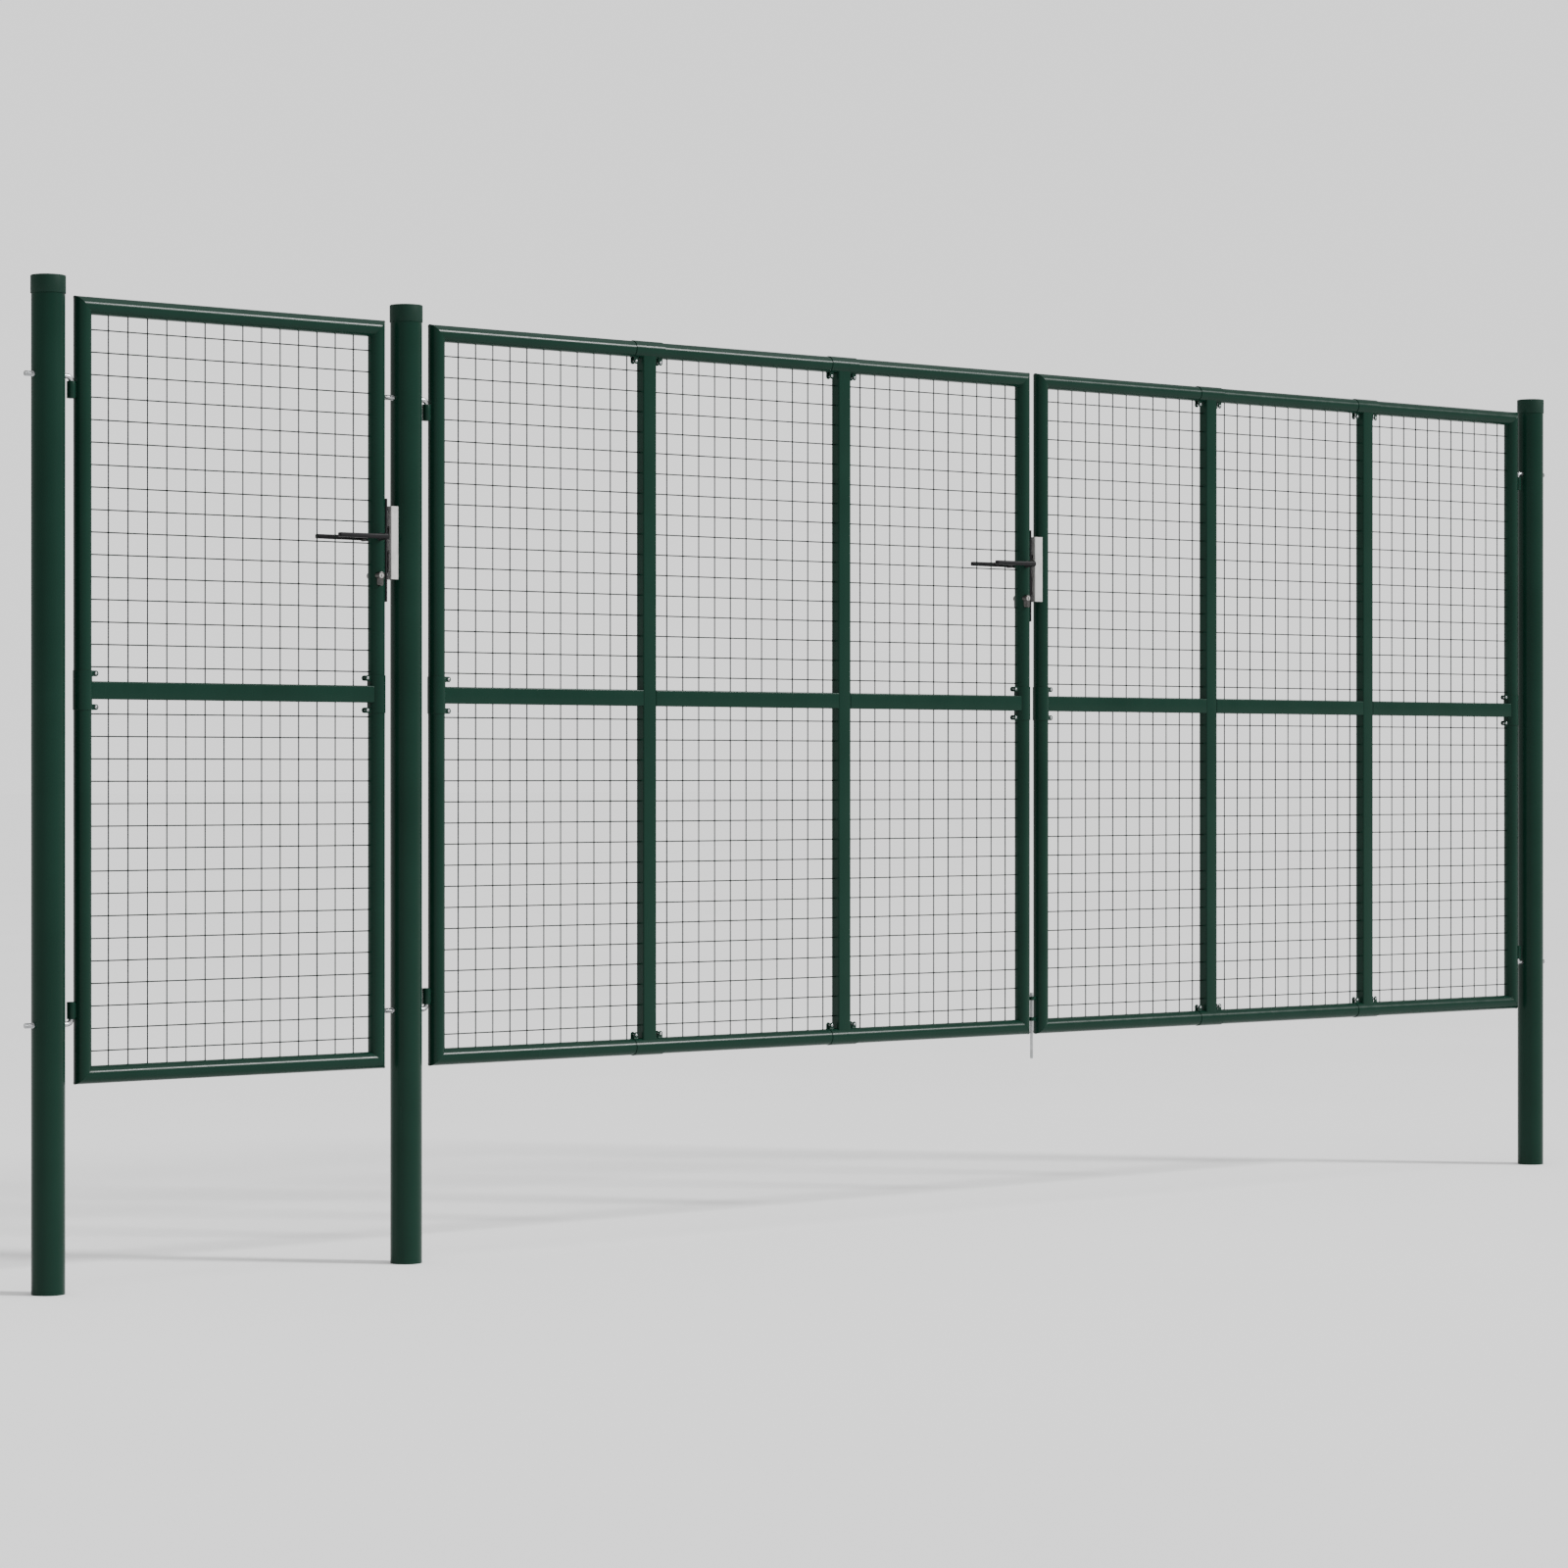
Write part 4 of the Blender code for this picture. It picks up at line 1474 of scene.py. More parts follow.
@dataclass
class Saddle:
    """A sheet clamp round a frame tube, with ears that are bolted together either side of a bar.

    Attributes:
        tube_radius: Radius of the frame tube.
        length: Length along the frame tube.
        sheet: Thickness of the sheet.
        ear_pitch: Distance between the middles of the two pairs of ears.
        ear_reach: How far an ear stands out from the tube.
        opening: Half angle of the sleeve's opening, in degrees.
        sides: Sides of a full sleeve.
        bolt_reach: Distance from the tube to a bolt.
        head: Radius and height of a bolt head.
        nut: Radius over the corners and height of a nut.
        shank: Radius of the bolt.
        sheet_edge: Bevel of the sheet's edges.
        nut_edge: Radius of the nut's edges.
    """

    tube_radius: float
    length: float = 0.088
    sheet: float = 0.0013
    ear_pitch: float = 0.075
    ear_reach: float = 0.0165
    opening: float = 18.0
    sides: int = 40
    bolt_reach: float = 0.0095
    head: tuple[float, float] = (0.0036, 0.0024)
    nut: tuple[float, float] = (0.0042, 0.0036)
    shank: float = 0.0022
    sheet_edge: float = 0.00035
    nut_edge: float = 0.0005

    @property
    def face_y(self) -> float:
        """How far the outer face of an ear is from the middle plane."""
        return (self.tube_radius + FIT) * math.sin(math.radians(self.opening)) + self.sheet

    def sleeve(self) -> Piece:
        """The clamp for a tube along Z, with its ears towards +X.

        Returns:
            The clamp.
        """
        inner = self.tube_radius + FIT
        half = self.length / 2
        ear_width = self.length - self.ear_pitch
        inner_edge = half - ear_width
        opening = math.radians(self.opening)
        edge_y = inner * math.sin(opening) + FIT
        tip_x = self.tube_radius + self.ear_reach
        clamp = round_bar(
            "saddle", inner, Along.Z, (0.0, 0.0), (-half, half), self.sides, capped=False
        )
        with editing(clamp):
            choose(
                clamp,
                "faces",
                lambda face: face.calc_center_median().x > 0
                and abs(face.calc_center_median().y) < edge_y - FIT,
            )
            bpy.ops.mesh.delete(type="FACE")
            for level in (-inner_edge, inner_edge):
                bpy.ops.mesh.select_all(action="SELECT")
                bpy.ops.mesh.bisect(plane_co=(0.0, 0.0, level), plane_no=(0.0, 0.0, 1.0))
        with editing(clamp, "EDGE"):
            choose(
                clamp,
                "edges",
                lambda edge: edge.is_boundary
                and abs(middle(edge).z) > inner_edge
                and middle(edge).x > 0
                and abs(middle(edge).y) < edge_y
                and run(edge, Along.Z) > FIT,
            )
            reach = tip_x - inner * math.cos(opening)
            bpy.ops.mesh.extrude_region_move(TRANSFORM_OT_translate={"value": (reach, 0.0, 0.0)})
        bevel_chosen(clamp, "verts", ear_width * 0.47, 6, lambda vert: vert.co.x > tip_x - FIT)
        with editing(clamp):
            bpy.ops.mesh.select_all(action="SELECT")
            bpy.ops.mesh.normals_make_consistent(inside=False)
        thicken(clamp, self.sheet, outwards=True)
        return soften(clamp, self.sheet_edge, 1, 50.0)

    def bolt(self) -> Piece:
        """A socket button bolt with its nut, through ears that lie either side of Y = 0.

        Returns:
            The bolt.
        """
        head_radius, head_height = self.head
        nut_radius, nut_height = self.nut
        face = self.face_y
        top = -face - head_height
        tip = face + nut_height * 1.3
        axis = (0.0, 0.0)
        head = round_bar("head", head_radius, Along.Y, axis, (top, -face), 24)
        bevel_chosen(
            head, "edges", head_height * 0.7, 4, lambda edge: middle(edge).y < top + FIT / 2
        )
        deep = (-face - head_height * 2, -face - head_height * 0.4)
        combine(head, "DIFFERENCE", round_bar("socket", head_radius * 0.38, Along.Y, axis, deep, 6))
        shank = round_bar("shank", self.shank, Along.Y, axis, (-face, tip), 16)
        nut = round_bar("nut", nut_radius, Along.Y, axis, (face, face + nut_height), 6)
        bevel_chosen(
            shank, "edges", self.shank * 0.25, 1, lambda edge: middle(edge).y > tip - FIT / 2
        )
        soften(nut, self.nut_edge)
        return fuse("bolt", head, shank, nut)

    def build(self, shop: Workshop, bars: InnerBars) -> None:
        """Puts a saddle and two bolts at every end of the inner bars.

        Args:
            shop: Where they are dressed.
            bars: The inner bars.
        """
        frame = bars.frame
        sleeve, bolt = self.sleeve(), self.bolt()
        turned = {side: Matrix.Rotation(math.radians(-90 * side), 4, "Y") for side in (-1, 1)}
        facing = {1: Matrix.Identity(4), -1: Matrix.Rotation(math.pi, 4, "Z")}
        ends = [(frame.left, bars.rail_z, facing[1]), (frame.right, bars.rail_z, facing[-1])]
        for i in range(bars.mullions):
            x = bars.mullion_x(i + 1)
            ends += [(x, frame.bottom, turned[1]), (x, frame.top, turned[-1])]
        bolt_x = self.tube_radius + self.bolt_reach
        for number, (x, z, turn) in enumerate(ends, start=1):
            name = f"{frame.leaf}_saddle_{number}"
            placing = Matrix.Translation((x, 0.0, z)) @ turn
            shop.deliver(copy_of(sleeve, name, placing), Finish.GREEN, frame.body)
            bolts = []
            for end in (-1, 1):
                spot = placing @ Vector((bolt_x, 0.0, end * self.ear_pitch / 2))
                bolts.append(copy_of(bolt, "bolt", Matrix.Translation(spot)))
            shop.deliver(fuse(f"{name}_bolts", *bolts), Finish.ZINC, frame.body)
        bpy.data.objects.remove(sleeve)
        bpy.data.objects.remove(bolt)


@dataclass
class MeshPanel:
    """A panel of welded wire between the bars of a leaf.

    Attributes:
        node: The panel's node.
        body: The leaf's body.
        pitch: Distance between wires.
        wire: Radius of a wire.
        sink: How far the crossing wires are pressed into each other.
        sides: Sides of a wire.
        nugget: Radius of a weld, as a multiple of a wire's.
    """

    node: str
    body: str
    pitch: float = 0.050
    wire: float = 0.0015
    sink: float = 0.0003
    sides: int = 8
    nugget: float = 1.35

    def first_and_count(self, low: float, high: float) -> tuple[float, int]:
        """Spaces wires between two edges.

        Args:
            low: The lower edge.
            high: The higher edge.

        Returns:
            Where the first wire is, and how many there are.
        """
        cells = int((high - low - self.pitch) / self.pitch)
        return (low + high - cells * self.pitch) / 2, cells + 1

    def build(self, shop: Workshop) -> None:
        """Makes the upright wires, the cross wires behind them and the welds between them.

        Args:
            shop: Where they are dressed.
        """
        low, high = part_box(self.node)
        x_edges = (low.x - FIT, high.x + FIT)
        z_edges = (low.z - FIT, high.z + FIT)
        first_x, count_x = self.first_and_count(*x_edges)
        first_z, count_z = self.first_and_count(*z_edges)
        offset = self.wire - self.sink
        upright = round_bar("upright", self.wire, Along.Z, (first_x, -offset), z_edges, self.sides)
        row_of(upright, count_x, (self.pitch, 0.0, 0.0))
        cross = round_bar("cross", self.wire, Along.X, (offset, first_z), x_edges, self.sides)
        row_of(cross, count_z, (0.0, 0.0, self.pitch))
        weld = self.weld(first_x, first_z)
        row_of(weld, count_x, (self.pitch, 0.0, 0.0))
        row_of(weld, count_z, (0.0, 0.0, self.pitch))
        panel = fuse(f"{self.node}_wires", upright, cross, weld)
        shop.deliver(panel, Finish.WIRE, self.body, self.node)

    def weld(self, x: float, z: float) -> Piece:
        """The small nugget where two wires are welded.

        Args:
            x: Where the upright wire is.
            z: Height of the cross wire.

        Returns:
            The nugget.
        """
        return primitive(
            "weld",
            bpy.ops.mesh.primitive_ico_sphere_add,
            subdivisions=1,
            radius=self.wire * self.nugget,
            location=(x, 0.0, z),
        )


# ---------------------------------------------------------------------------------------------
# Locks, keeps and the drop bolt
# ---------------------------------------------------------------------------------------------


@dataclass(frozen=True)
class CrossScrew:
    """The head of a screw along X, with a cross recess.

    Attributes:
        outwards: +1 where the head faces +X, or -1.
        radius: Radius of the head.
        span: Where the head starts and stops, measured from the plate's face.
        edge: Rounding of its outer edge.
        steps: Number of steps in that rounding.
        recess: Where the recess starts and stops, measured from the plate's face.
        cross: Half length and half width of an arm of the cross, as shares of the radius.
    """

    outwards: int
    radius: float
    span: tuple[float, float]
    edge: float
    steps: int
    recess: tuple[float, float]
    cross: tuple[float, float]

    def build(self, face_x: float, level: float) -> Piece:
        """Makes the head.

        Args:
            face_x: Where the plate's face is.
            level: Height of the screw's axis.

        Returns:
            The head.
        """
        ends = (face_x + self.span[0], face_x + self.span[1])
        outer = ends[1] if self.outwards > 0 else ends[0]
        head = round_bar("screw", self.radius, Along.X, (0.0, level), ends)
        bevel_chosen(
            head, "edges", self.edge, self.steps, lambda edge: abs(middle(edge).x - outer) < FIT / 3
        )
        near, far = face_x + self.recess[0], face_x + self.recess[1]
        arm, width = self.radius * self.cross[0], self.radius * self.cross[1]
        for y, z in ((arm, width), (width, arm)):
            combine(head, "DIFFERENCE", block("cross", (near, -y, level - z), (far, y, level + z)))
        return head


SUNK_SCREW = CrossScrew(1, 0.0034, (-0.0020, -0.0003), 0.0003, 1, (-0.0012, 0.0), (0.62, 0.16))
PAN_SCREW = CrossScrew(-1, 0.0042, (-0.0019, 0.001), 0.0013, 4, (-0.0025, -0.0008), (0.55, 0.14))


# Each cut of a keyway: its sides along X and its foot and top, from the plug's axis, and how far it
# reaches into the plug and out of it.
KEYWAY = (
    ("slit", (-0.0008, 0.0008), (-0.0042, 0.0036), (0.006, FIT)),
    ("ward", (-0.0017, 0.0004), (-0.0016, 0.0004), (0.006, FIT)),
    ("funnel", (-0.0013, 0.0013), (-0.0046, 0.0040), (0.0005, 0.0005)),
)


@dataclass
class GateLock:
    """A mortise gate lock in a round stile, with a lever on each side.

    Attributes:
        leaf: Name of the leaf in the nodes.
        tag: The lock's name in its bodies and joints.
        body: The leaf's body.
        frame: The leaf's frame.
        case_half: Half thickness of the case.
        case_margin: How far the case reaches past the key's and the levers' axes.
        case_edge: Radius of the case's edges.
        slot_room: Room above and below the case in the stile.
        forend: Thickness of the forend plate.
        forend_edge: Radius of the forend's edges.
        seat_gap: Depth of the flat that the forend is let into.
        spindle: Radius of the spindle.
        spindle_half: Half length of the spindle.
        hub: Radius of a lever's neck.
        hub_edge: Radius of the edges of a neck and its collar.
        collar: How much wider a collar is than its neck.
        collar_span: Where a collar starts and stops, measured from the stile's side of the neck.
        neck_depth: How far a neck reaches into its grip.
        grip: Height and depth of a lever's grip.
        grip_edge: Radius of the grip's edges.
        taper: Depth and height of a grip's tip, as shares of those at its neck.
        head: Radius of the key cylinder's round part.
        stem: Radius of the key cylinder's stem.
        head_edge: Radius of the edges of the key cylinder and its plug.
        bolt_edge: Radius of the edges of the latch and the dead bolt.
        window_gap: Room behind a bolt in the case.
        screw_inset: Distance from a screw to the forend's end.
        screw_depth: Depth of a screw's seat.
    """

    leaf: str
    tag: str
    body: str
    frame: LeafFrame
    case_half: float = 0.008
    case_margin: float = 0.050
    case_edge: float = 0.0008
    slot_room: float = 0.0005
    forend: float = 0.003
    forend_edge: float = 0.0007
    seat_gap: float = 0.0015
    spindle: float = 0.0045
    spindle_half: float = 0.045
    hub: float = 0.008
    hub_edge: tuple[float, float] = (0.0012, 0.0010)
    collar: float = 1.16
    collar_span: tuple[float, float] = (0.0015, 0.006)
    neck_depth: float = 0.004
    grip: tuple[float, float] = (0.0112, 0.014)
    grip_edge: float = 0.0028
    taper: tuple[float, float] = (0.92, 0.95)
    head: float = 0.0085
    stem: float = 0.005
    head_edge: tuple[float, float] = (0.0003, 0.0002)
    bolt_edge: tuple[float, float] = (0.0004, 0.0006)
    window_gap: float = 0.0055
    screw_inset: float = 0.011
    screw_depth: float = 0.0016

    def axis_of(self, part: str, shop: Workshop) -> tuple[float, float]:
        """Where a turning part's axis is, which lies along Y.

        Args:
            part: levers or plug.
            shop: The workshop, which knows the joints.

        Returns:
            X and Z of the axis.
        """
        x, _, z = shop.joints[f"{part}_{self.tag}_turn"]["pos_m"]
        return x, z

    def cylinder_outline(
        self, name: str, x: float, z: float, ends: tuple[float, float], grow: float = 0.0
    ) -> Piece:
        """A solid in the key cylinder's outline: a round head and a narrower stem below it.

        Args:
            name: The solid's name.
            x: Where the head's axis is.
            z: Height of the head's axis.
            ends: Its front and back.
            grow: How much wider than the cylinder it is all round.

        Returns:
            The solid.
        """
        foot_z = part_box(f"{self.leaf}_key_cylinder")[0].z + self.stem
        side = self.stem + grow
        head = round_bar(name, self.head + grow, Along.Y, (x, z), ends, 64)
        stem = block("stem", (x - side, ends[0], foot_z), (x + side, ends[1], z))
        foot = round_bar("foot", side, Along.Y, (x, foot_z), ends, 48)
        return combine(head, "UNION", stem, foot)

    def prepare_stile(self, stile: Piece, shop: Workshop) -> None:
        """Cuts the stile for the case, the forend, the spindle and the key cylinder.

        Args:
            stile: The stile's tube.
            shop: The workshop, which knows the joints.
        """
        low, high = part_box(f"{self.leaf}_lock_case")
        seat = high.x - self.forend - self.seat_gap
        x, z = self.axis_of("levers", shop)
        key_x, key_z = self.axis_of("plug", shop)
        wide, thick = self.frame.radius * 1.2, self.case_half + FIT
        through = (-self.frame.radius * 1.5, self.frame.radius * 1.5)
        slot_low = key_z - self.case_margin - self.slot_room
        slot_high = z + self.case_margin + self.slot_room
        flat = block("flat", (seat - FIT, -wide, low.z - FIT), (high.x + FIT, wide, high.z + FIT))
        slot = block("slot", (x, -thick, slot_low), (high.x, thick, slot_high))
        hole = round_bar("hole", self.spindle * 1.3, Along.Y, (x, z), through)
        key = self.cylinder_outline("key", key_x, key_z, through, FIT)
        combine(stile, "DIFFERENCE", flat, slot, hole, key)

    def build(self, shop: Workshop) -> None:
        """Makes the case, forend, key cylinder, plug, levers and both bolts.

        Args:
            shop: Where they are dressed.
        """
        self.build_case(shop)
        self.build_cylinder(shop)
        self.build_levers(shop)
        self.build_bolts(shop)

    def build_case(self, shop: Workshop) -> None:
        """Makes the case and the forend plate, with windows for the bolts.

        Args:
            shop: Where they are dressed.
        """
        node = f"{self.leaf}_lock_case"
        low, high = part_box(node)
        x, z = self.axis_of("levers", shop)
        key_x, key_z = self.axis_of("plug", shop)
        seat = high.x - self.forend - self.seat_gap
        case = block(
            "case",
            (low.x, -self.case_half, key_z - self.case_margin),
            (seat, self.case_half, z + self.case_margin),
        )
        soften(case, self.case_edge)
        plate = block("plate", (seat, low.y, low.z), (high.x, high.y, high.z))
        front = high.x - FIT
        bevel_chosen(plate, "edges", self.forend_edge, 3, lambda edge: middle(edge).x > front)
        windows = []
        for bolt in ("latch_bolt", "dead_bolt"):
            bolt_low, bolt_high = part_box(f"{self.leaf}_{bolt}")
            corner = bolt_low - Vector((self.window_gap + FIT, FIT, FIT))
            windows.append((corner, (high.x + FIT, bolt_high.y + FIT, bolt_high.z + FIT)))
        for part in (case, plate):
            for corner, far in windows:
                combine(part, "DIFFERENCE", block("window", corner, far))
        across = (-self.frame.radius, self.frame.radius)
        spindle = round_bar("spindle", self.spindle * 1.2, Along.Y, (x, z), across)
        key = self.cylinder_outline("key", key_x, key_z, across, FIT)
        combine(case, "DIFFERENCE", spindle, key)
        levels = (low.z + self.screw_inset, high.z - self.screw_inset)
        deep = (high.x - self.screw_depth, high.x + FIT)
        for level in levels:
            sink = round_bar("sink", SUNK_SCREW.radius + FIT, Along.X, (0.0, level), deep)
            combine(plate, "DIFFERENCE", sink)
        screws = [SUNK_SCREW.build(high.x, level) for level in levels]
        shop.deliver(fuse(f"{self.leaf}_lock_body", case, plate), Finish.BLACK, self.body, node)
        shop.deliver(fuse(f"{self.leaf}_forend_screws", *screws), Finish.ZINC, self.body)

    def build_cylinder(self, shop: Workshop) -> None:
        """Makes the key cylinder and the plug that turns in it.

        Args:
            shop: Where they are dressed.
        """
        node = f"{self.leaf}_key_cylinder"
        low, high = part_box(node)
        plug_low, plug_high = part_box(f"{self.leaf}_key_plug")
        radius = (plug_high.x - plug_low.x) / 2
        x, z = self.axis_of("plug", shop)
        span, past = (low.y, high.y), (low.y - FIT, high.y + FIT)
        cylinder = self.cylinder_outline(f"{node}_body", x, z, span)
        combine(cylinder, "DIFFERENCE", round_bar("bore", radius + FIT, Along.Y, (x, z), past, 48))
        soften(cylinder, self.head_edge[0])
        # The cylinder's body gets the darkened nickel, which is painted shade; the plug keeps the
        # bright nickel.
        shop.deliver(cylinder, Finish.DARK_NICKEL, self.body, node)
        plug = round_bar(f"{self.leaf}_key_plug_body", radius, Along.Y, (x, z), span, 48)
        for side, face_y in ((-1, low.y), (1, high.y)):
            self.cut_keyway(plug, (x, z), face_y, side)
        soften(plug, self.head_edge[1], 1, 60.0)
        shop.deliver(plug, Finish.NICKEL, f"plug_{self.tag}", f"{self.leaf}_key_plug")

    def cut_keyway(self, plug: Piece, axis: tuple[float, float], face_y: float, side: int) -> None:
        """Cuts a keyway into one end of the plug.

        Args:
            plug: The plug.
            axis: X and Z of the plug's axis.
            face_y: Where the plug's end is.
            side: +1 for the back end, or -1 for the front.
        """
        x, z = axis
        for name, (near_x, far_x), (low_z, high_z), (inner, outer) in KEYWAY:
            ends = sorted((face_y - side * inner, face_y + side * outer))
            low, high = (x + near_x, ends[0], z + low_z), (x + far_x, ends[1], z + high_z)
            combine(plug, "DIFFERENCE", block(name, low, high))

    def build_levers(self, shop: Workshop) -> None:
        """Makes the front and back levers with their necks, on one spindle.

        Args:
            shop: Where they are dressed.
        """
        node = f"{self.leaf}_levers"
        low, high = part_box(node)
        x, z = self.axis_of("levers", shop)
        span = (-self.spindle_half, self.spindle_half)
        pieces = [round_bar("spindle", self.spindle, Along.Y, (x, z), span, 24)]
        for side, face_y in ((-1, low.y), (1, high.y)):
            pieces += self.lever(side, face_y, low.x, (x, z))
        shop.deliver(fuse(f"{node}_pair", *pieces), Finish.BLACK, f"levers_{self.tag}", node)

    def lever(
        self, side: int, face_y: float, tip_x: float, axis: tuple[float, float]
    ) -> list[Piece]:
        """One lever: a tapered grip on its neck, and the collar round the neck.

        Args:
            side: +1 for the back lever, or -1 for the front.
            face_y: Where the grip's outer face is.
            tip_x: Where the grip ends.
            axis: X and Z of the spindle's axis.

        Returns:
            The lever and its collar.
        """
        x, z = axis
        height, depth = self.grip
        ends = sorted((face_y, face_y - side * depth))
        half = height / 2
        grip = block("grip", (tip_x, ends[0], z - half), (x + half, ends[1], z + half))
        with editing(grip):
            choose(grip, "faces", lambda face: face.normal.x < -0.9)
            bpy.ops.transform.resize(value=(1.0, *self.taper))
        bevel_chosen(
            grip,
            "edges",
            height * 0.46,
            8,
            lambda edge: middle(edge).x > x and run(edge, Along.Y) > depth / 2,
        )
        soften(grip, self.grip_edge, 4, 40.0)
        inner = side * (self.frame.radius + 2 * FIT)
        neck_ends = (inner, face_y - side * self.neck_depth)
        neck = round_bar("neck", self.hub, Along.Y, axis, neck_ends, 48)
        neck_edge, collar_edge = self.hub_edge
        bevel_chosen(neck, "edges", neck_edge, 3, lambda edge: abs(middle(edge).y - inner) < FIT)
        collar_ends = tuple(inner + side * reach for reach in self.collar_span)
        collar = round_bar("collar", self.hub * self.collar, Along.Y, axis, collar_ends, 48)
        soften(collar, collar_edge, 3)
        return [combine(neck, "UNION", grip), collar]

    def build_bolts(self, shop: Workshop) -> None:
        """Makes the sprung latch, whose tip slopes on both sides, and the dead bolt.

        Args:
            shop: Where they are dressed.
        """
        low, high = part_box(f"{self.leaf}_latch_bolt")
        latch = block(f"{self.leaf}_latch_body", tuple(low), tuple(high))
        width = (high.y - low.y) / 3
        bevel_chosen(
            latch,
            "edges",
            width * 0.95,
            1,
            lambda edge: middle(edge).x > high.x - FIT and run(edge, Along.Z) > width,
        )
        soften(latch, self.bolt_edge[0])
        shop.deliver(latch, Finish.STAINLESS, f"latch_{self.tag}", f"{self.leaf}_latch_bolt")
        low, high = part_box(f"{self.leaf}_dead_bolt")
        dead = block(f"{self.leaf}_dead_bolt_body", tuple(low), tuple(high))
        soften(dead, self.bolt_edge[1], 3)
        shop.deliver(dead, Finish.STAINLESS, f"dead_bolt_{self.tag}", f"{self.leaf}_dead_bolt")


@dataclass
class Keep:
    """A channel bent from stainless sheet, with windows for the latch and the dead bolt.

    Attributes:
        node: The keep's node.
        body: The body that carries it.
        stile_x: Axis of the post or stile that it is screwed to.
        stile_radius: Radius of that post or stile.
        latch_z: Height of the latch's middle.
        dead_z: Height of the dead bolt's middle.
        sheet: Thickness of the sheet.
        bend: Outer radius of its bends.
        latch_window: Width and height of the latch's window.
        dead_window: Width and height of the dead bolt's window.
        window_corner: Radius of a window's corners.
        edge: Bevel of the sheet's edges.
        screw_inset: Distance from a screw to the keep's end.
    """

    node: str
    body: str
    stile_x: float
    stile_radius: float
    latch_z: float
    dead_z: float
    sheet: float = 0.002
    bend: float = 0.0026
    latch_window: tuple[float, float] = (0.018, 0.028)
    dead_window: tuple[float, float] = (0.014, 0.050)
    window_corner: float = 0.0015
    edge: float = 0.0002
    screw_inset: float = 0.012

    def build(self, shop: Workshop) -> None:
        """Makes the channel and its two screws.

        Args:
            shop: Where they are dressed.
        """
        low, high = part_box(self.node)
        channel = block(
            f"{self.node}_channel", (low.x, low.y, low.z), (self.stile_x, high.y, high.z)
        )
        with editing(channel):
            choose(channel, "faces", lambda face: face.normal.x > 0.9 or abs(face.normal.z) > 0.9)
            bpy.ops.mesh.delete(type="FACE")
        bevel_chosen(
            channel,
            "edges",
            self.bend,
            5,
            lambda edge: middle(edge).x < low.x + FIT and run(edge, Along.Z) > self.bend,
        )
        thicken(channel, self.sheet)
        past = (low.z - FIT, high.z + FIT)
        radius = self.stile_radius + FIT / 2
        seat = round_bar("seat", radius, Along.Z, (self.stile_x, 0.0), past, 96)
        combine(channel, "DIFFERENCE", seat)
        windows = ((self.latch_z, *self.latch_window), (self.dead_z, *self.dead_window))
        for level, width, height in windows:
            window = block(
                "window",
                (low.x - FIT, -width / 2, level - height / 2),
                (low.x + 2 * self.sheet, width / 2, level + height / 2),
            )
            corner = self.window_corner
            bevel_chosen(window, "edges", corner, 4, lambda edge: run(edge, Along.X) > FIT)
            combine(channel, "DIFFERENCE", window)
        soften(channel, self.edge, 1, 60.0)
        shop.deliver(channel, Finish.STAINLESS, self.body, self.node)
        levels = (low.z + self.screw_inset, high.z - self.screw_inset)
        screws = [PAN_SCREW.build(low.x, level) for level in levels]
        shop.deliver(fuse(f"{self.node}_screws", *screws), Finish.ZINC, self.body)


@dataclass
class DropBolt:
    """A rod that drops into the ground between the leaves, in two rings on the free stile.

    Attributes:
        frame: The leaf's frame.
        radius: Radius of the rod.
        ring: Outer radius of a guide ring.
        ring_length: Length of a guide ring.
        ring_heights: Heights of the rings' middles above the leaf's bottom.
        pin_below_top: Distance from the rod's top to its cross pin.
        pin: Radius of the cross pin.
        ring_edge: Radius of a guide ring's edges.
        lug_sink: How far a ring's lug is let into the stile.
    """

    frame: LeafFrame
    radius: float = 0.004
    ring: float = 0.0073
    ring_length: float = 0.0096
    ring_heights: tuple[float, float] = (0.0397, 0.0945)
    pin_below_top: float = 0.0075
    pin: float = 0.0015
    ring_edge: float = 0.0005
    lug_sink: float = 0.0008

    def build(self, shop: Workshop) -> None:
        """Makes the rod with its cross pin, and the guide rings.

        Args:
            shop: Where they are dressed.
        """
        node = f"{self.frame.leaf}_drop_bolt"
        low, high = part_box(node)
        x = (low.x + high.x) / 2
        rod = round_bar("rod", self.radius, Along.Z, (x, 0.0), (low.z, high.z), 40)
        foot, top = self.radius * 0.55, self.radius * 0.25
        bevel_chosen(rod, "edges", foot, 4, lambda edge: middle(edge).z < low.z + FIT)
        bevel_chosen(rod, "edges", top, 3, lambda edge: middle(edge).z > high.z - FIT)
        pin_place = (x, high.z - self.pin_below_top)
        pin = round_bar("pin", self.pin, Along.Y, pin_place, (low.y, high.y), 24)
        soften(pin, self.pin * 0.4)
        shop.deliver(fuse(f"{node}_rod", rod, pin), Finish.ZINC, "drop_bolt", node)
        rings = [self.guide(x, self.frame.low.z + height) for height in self.ring_heights]
        shop.deliver(fuse(f"{node}_guides", *rings), Finish.GREEN, self.frame.body)

    def guide(self, x: float, level: float) -> Piece:
        """A ring with a lug that is welded to the stile.

        Args:
            x: Where the rod's axis is.
            level: Height of the ring's middle.

        Returns:
            The ring.
        """
        half = self.ring_length / 2
        span, past = (level - half, level + half), (level - 2 * half, level + 2 * half)
        ring = round_bar("ring", self.ring, Along.Z, (x, 0.0), span, 48)
        reach = self.frame.radius - self.lug_sink
        edge_x = self.frame.free_x + math.copysign(reach, x - self.frame.free_x)
        near, far = sorted((x, edge_x))
        lug = block("lug", (near, -half, span[0]), (far, half, span[1]))
        bore = round_bar("bore", self.radius + FIT, Along.Z, (x, 0.0), past, 48)
        combine(combine(ring, "UNION", lug), "DIFFERENCE", bore)
        return soften(ring, self.ring_edge)


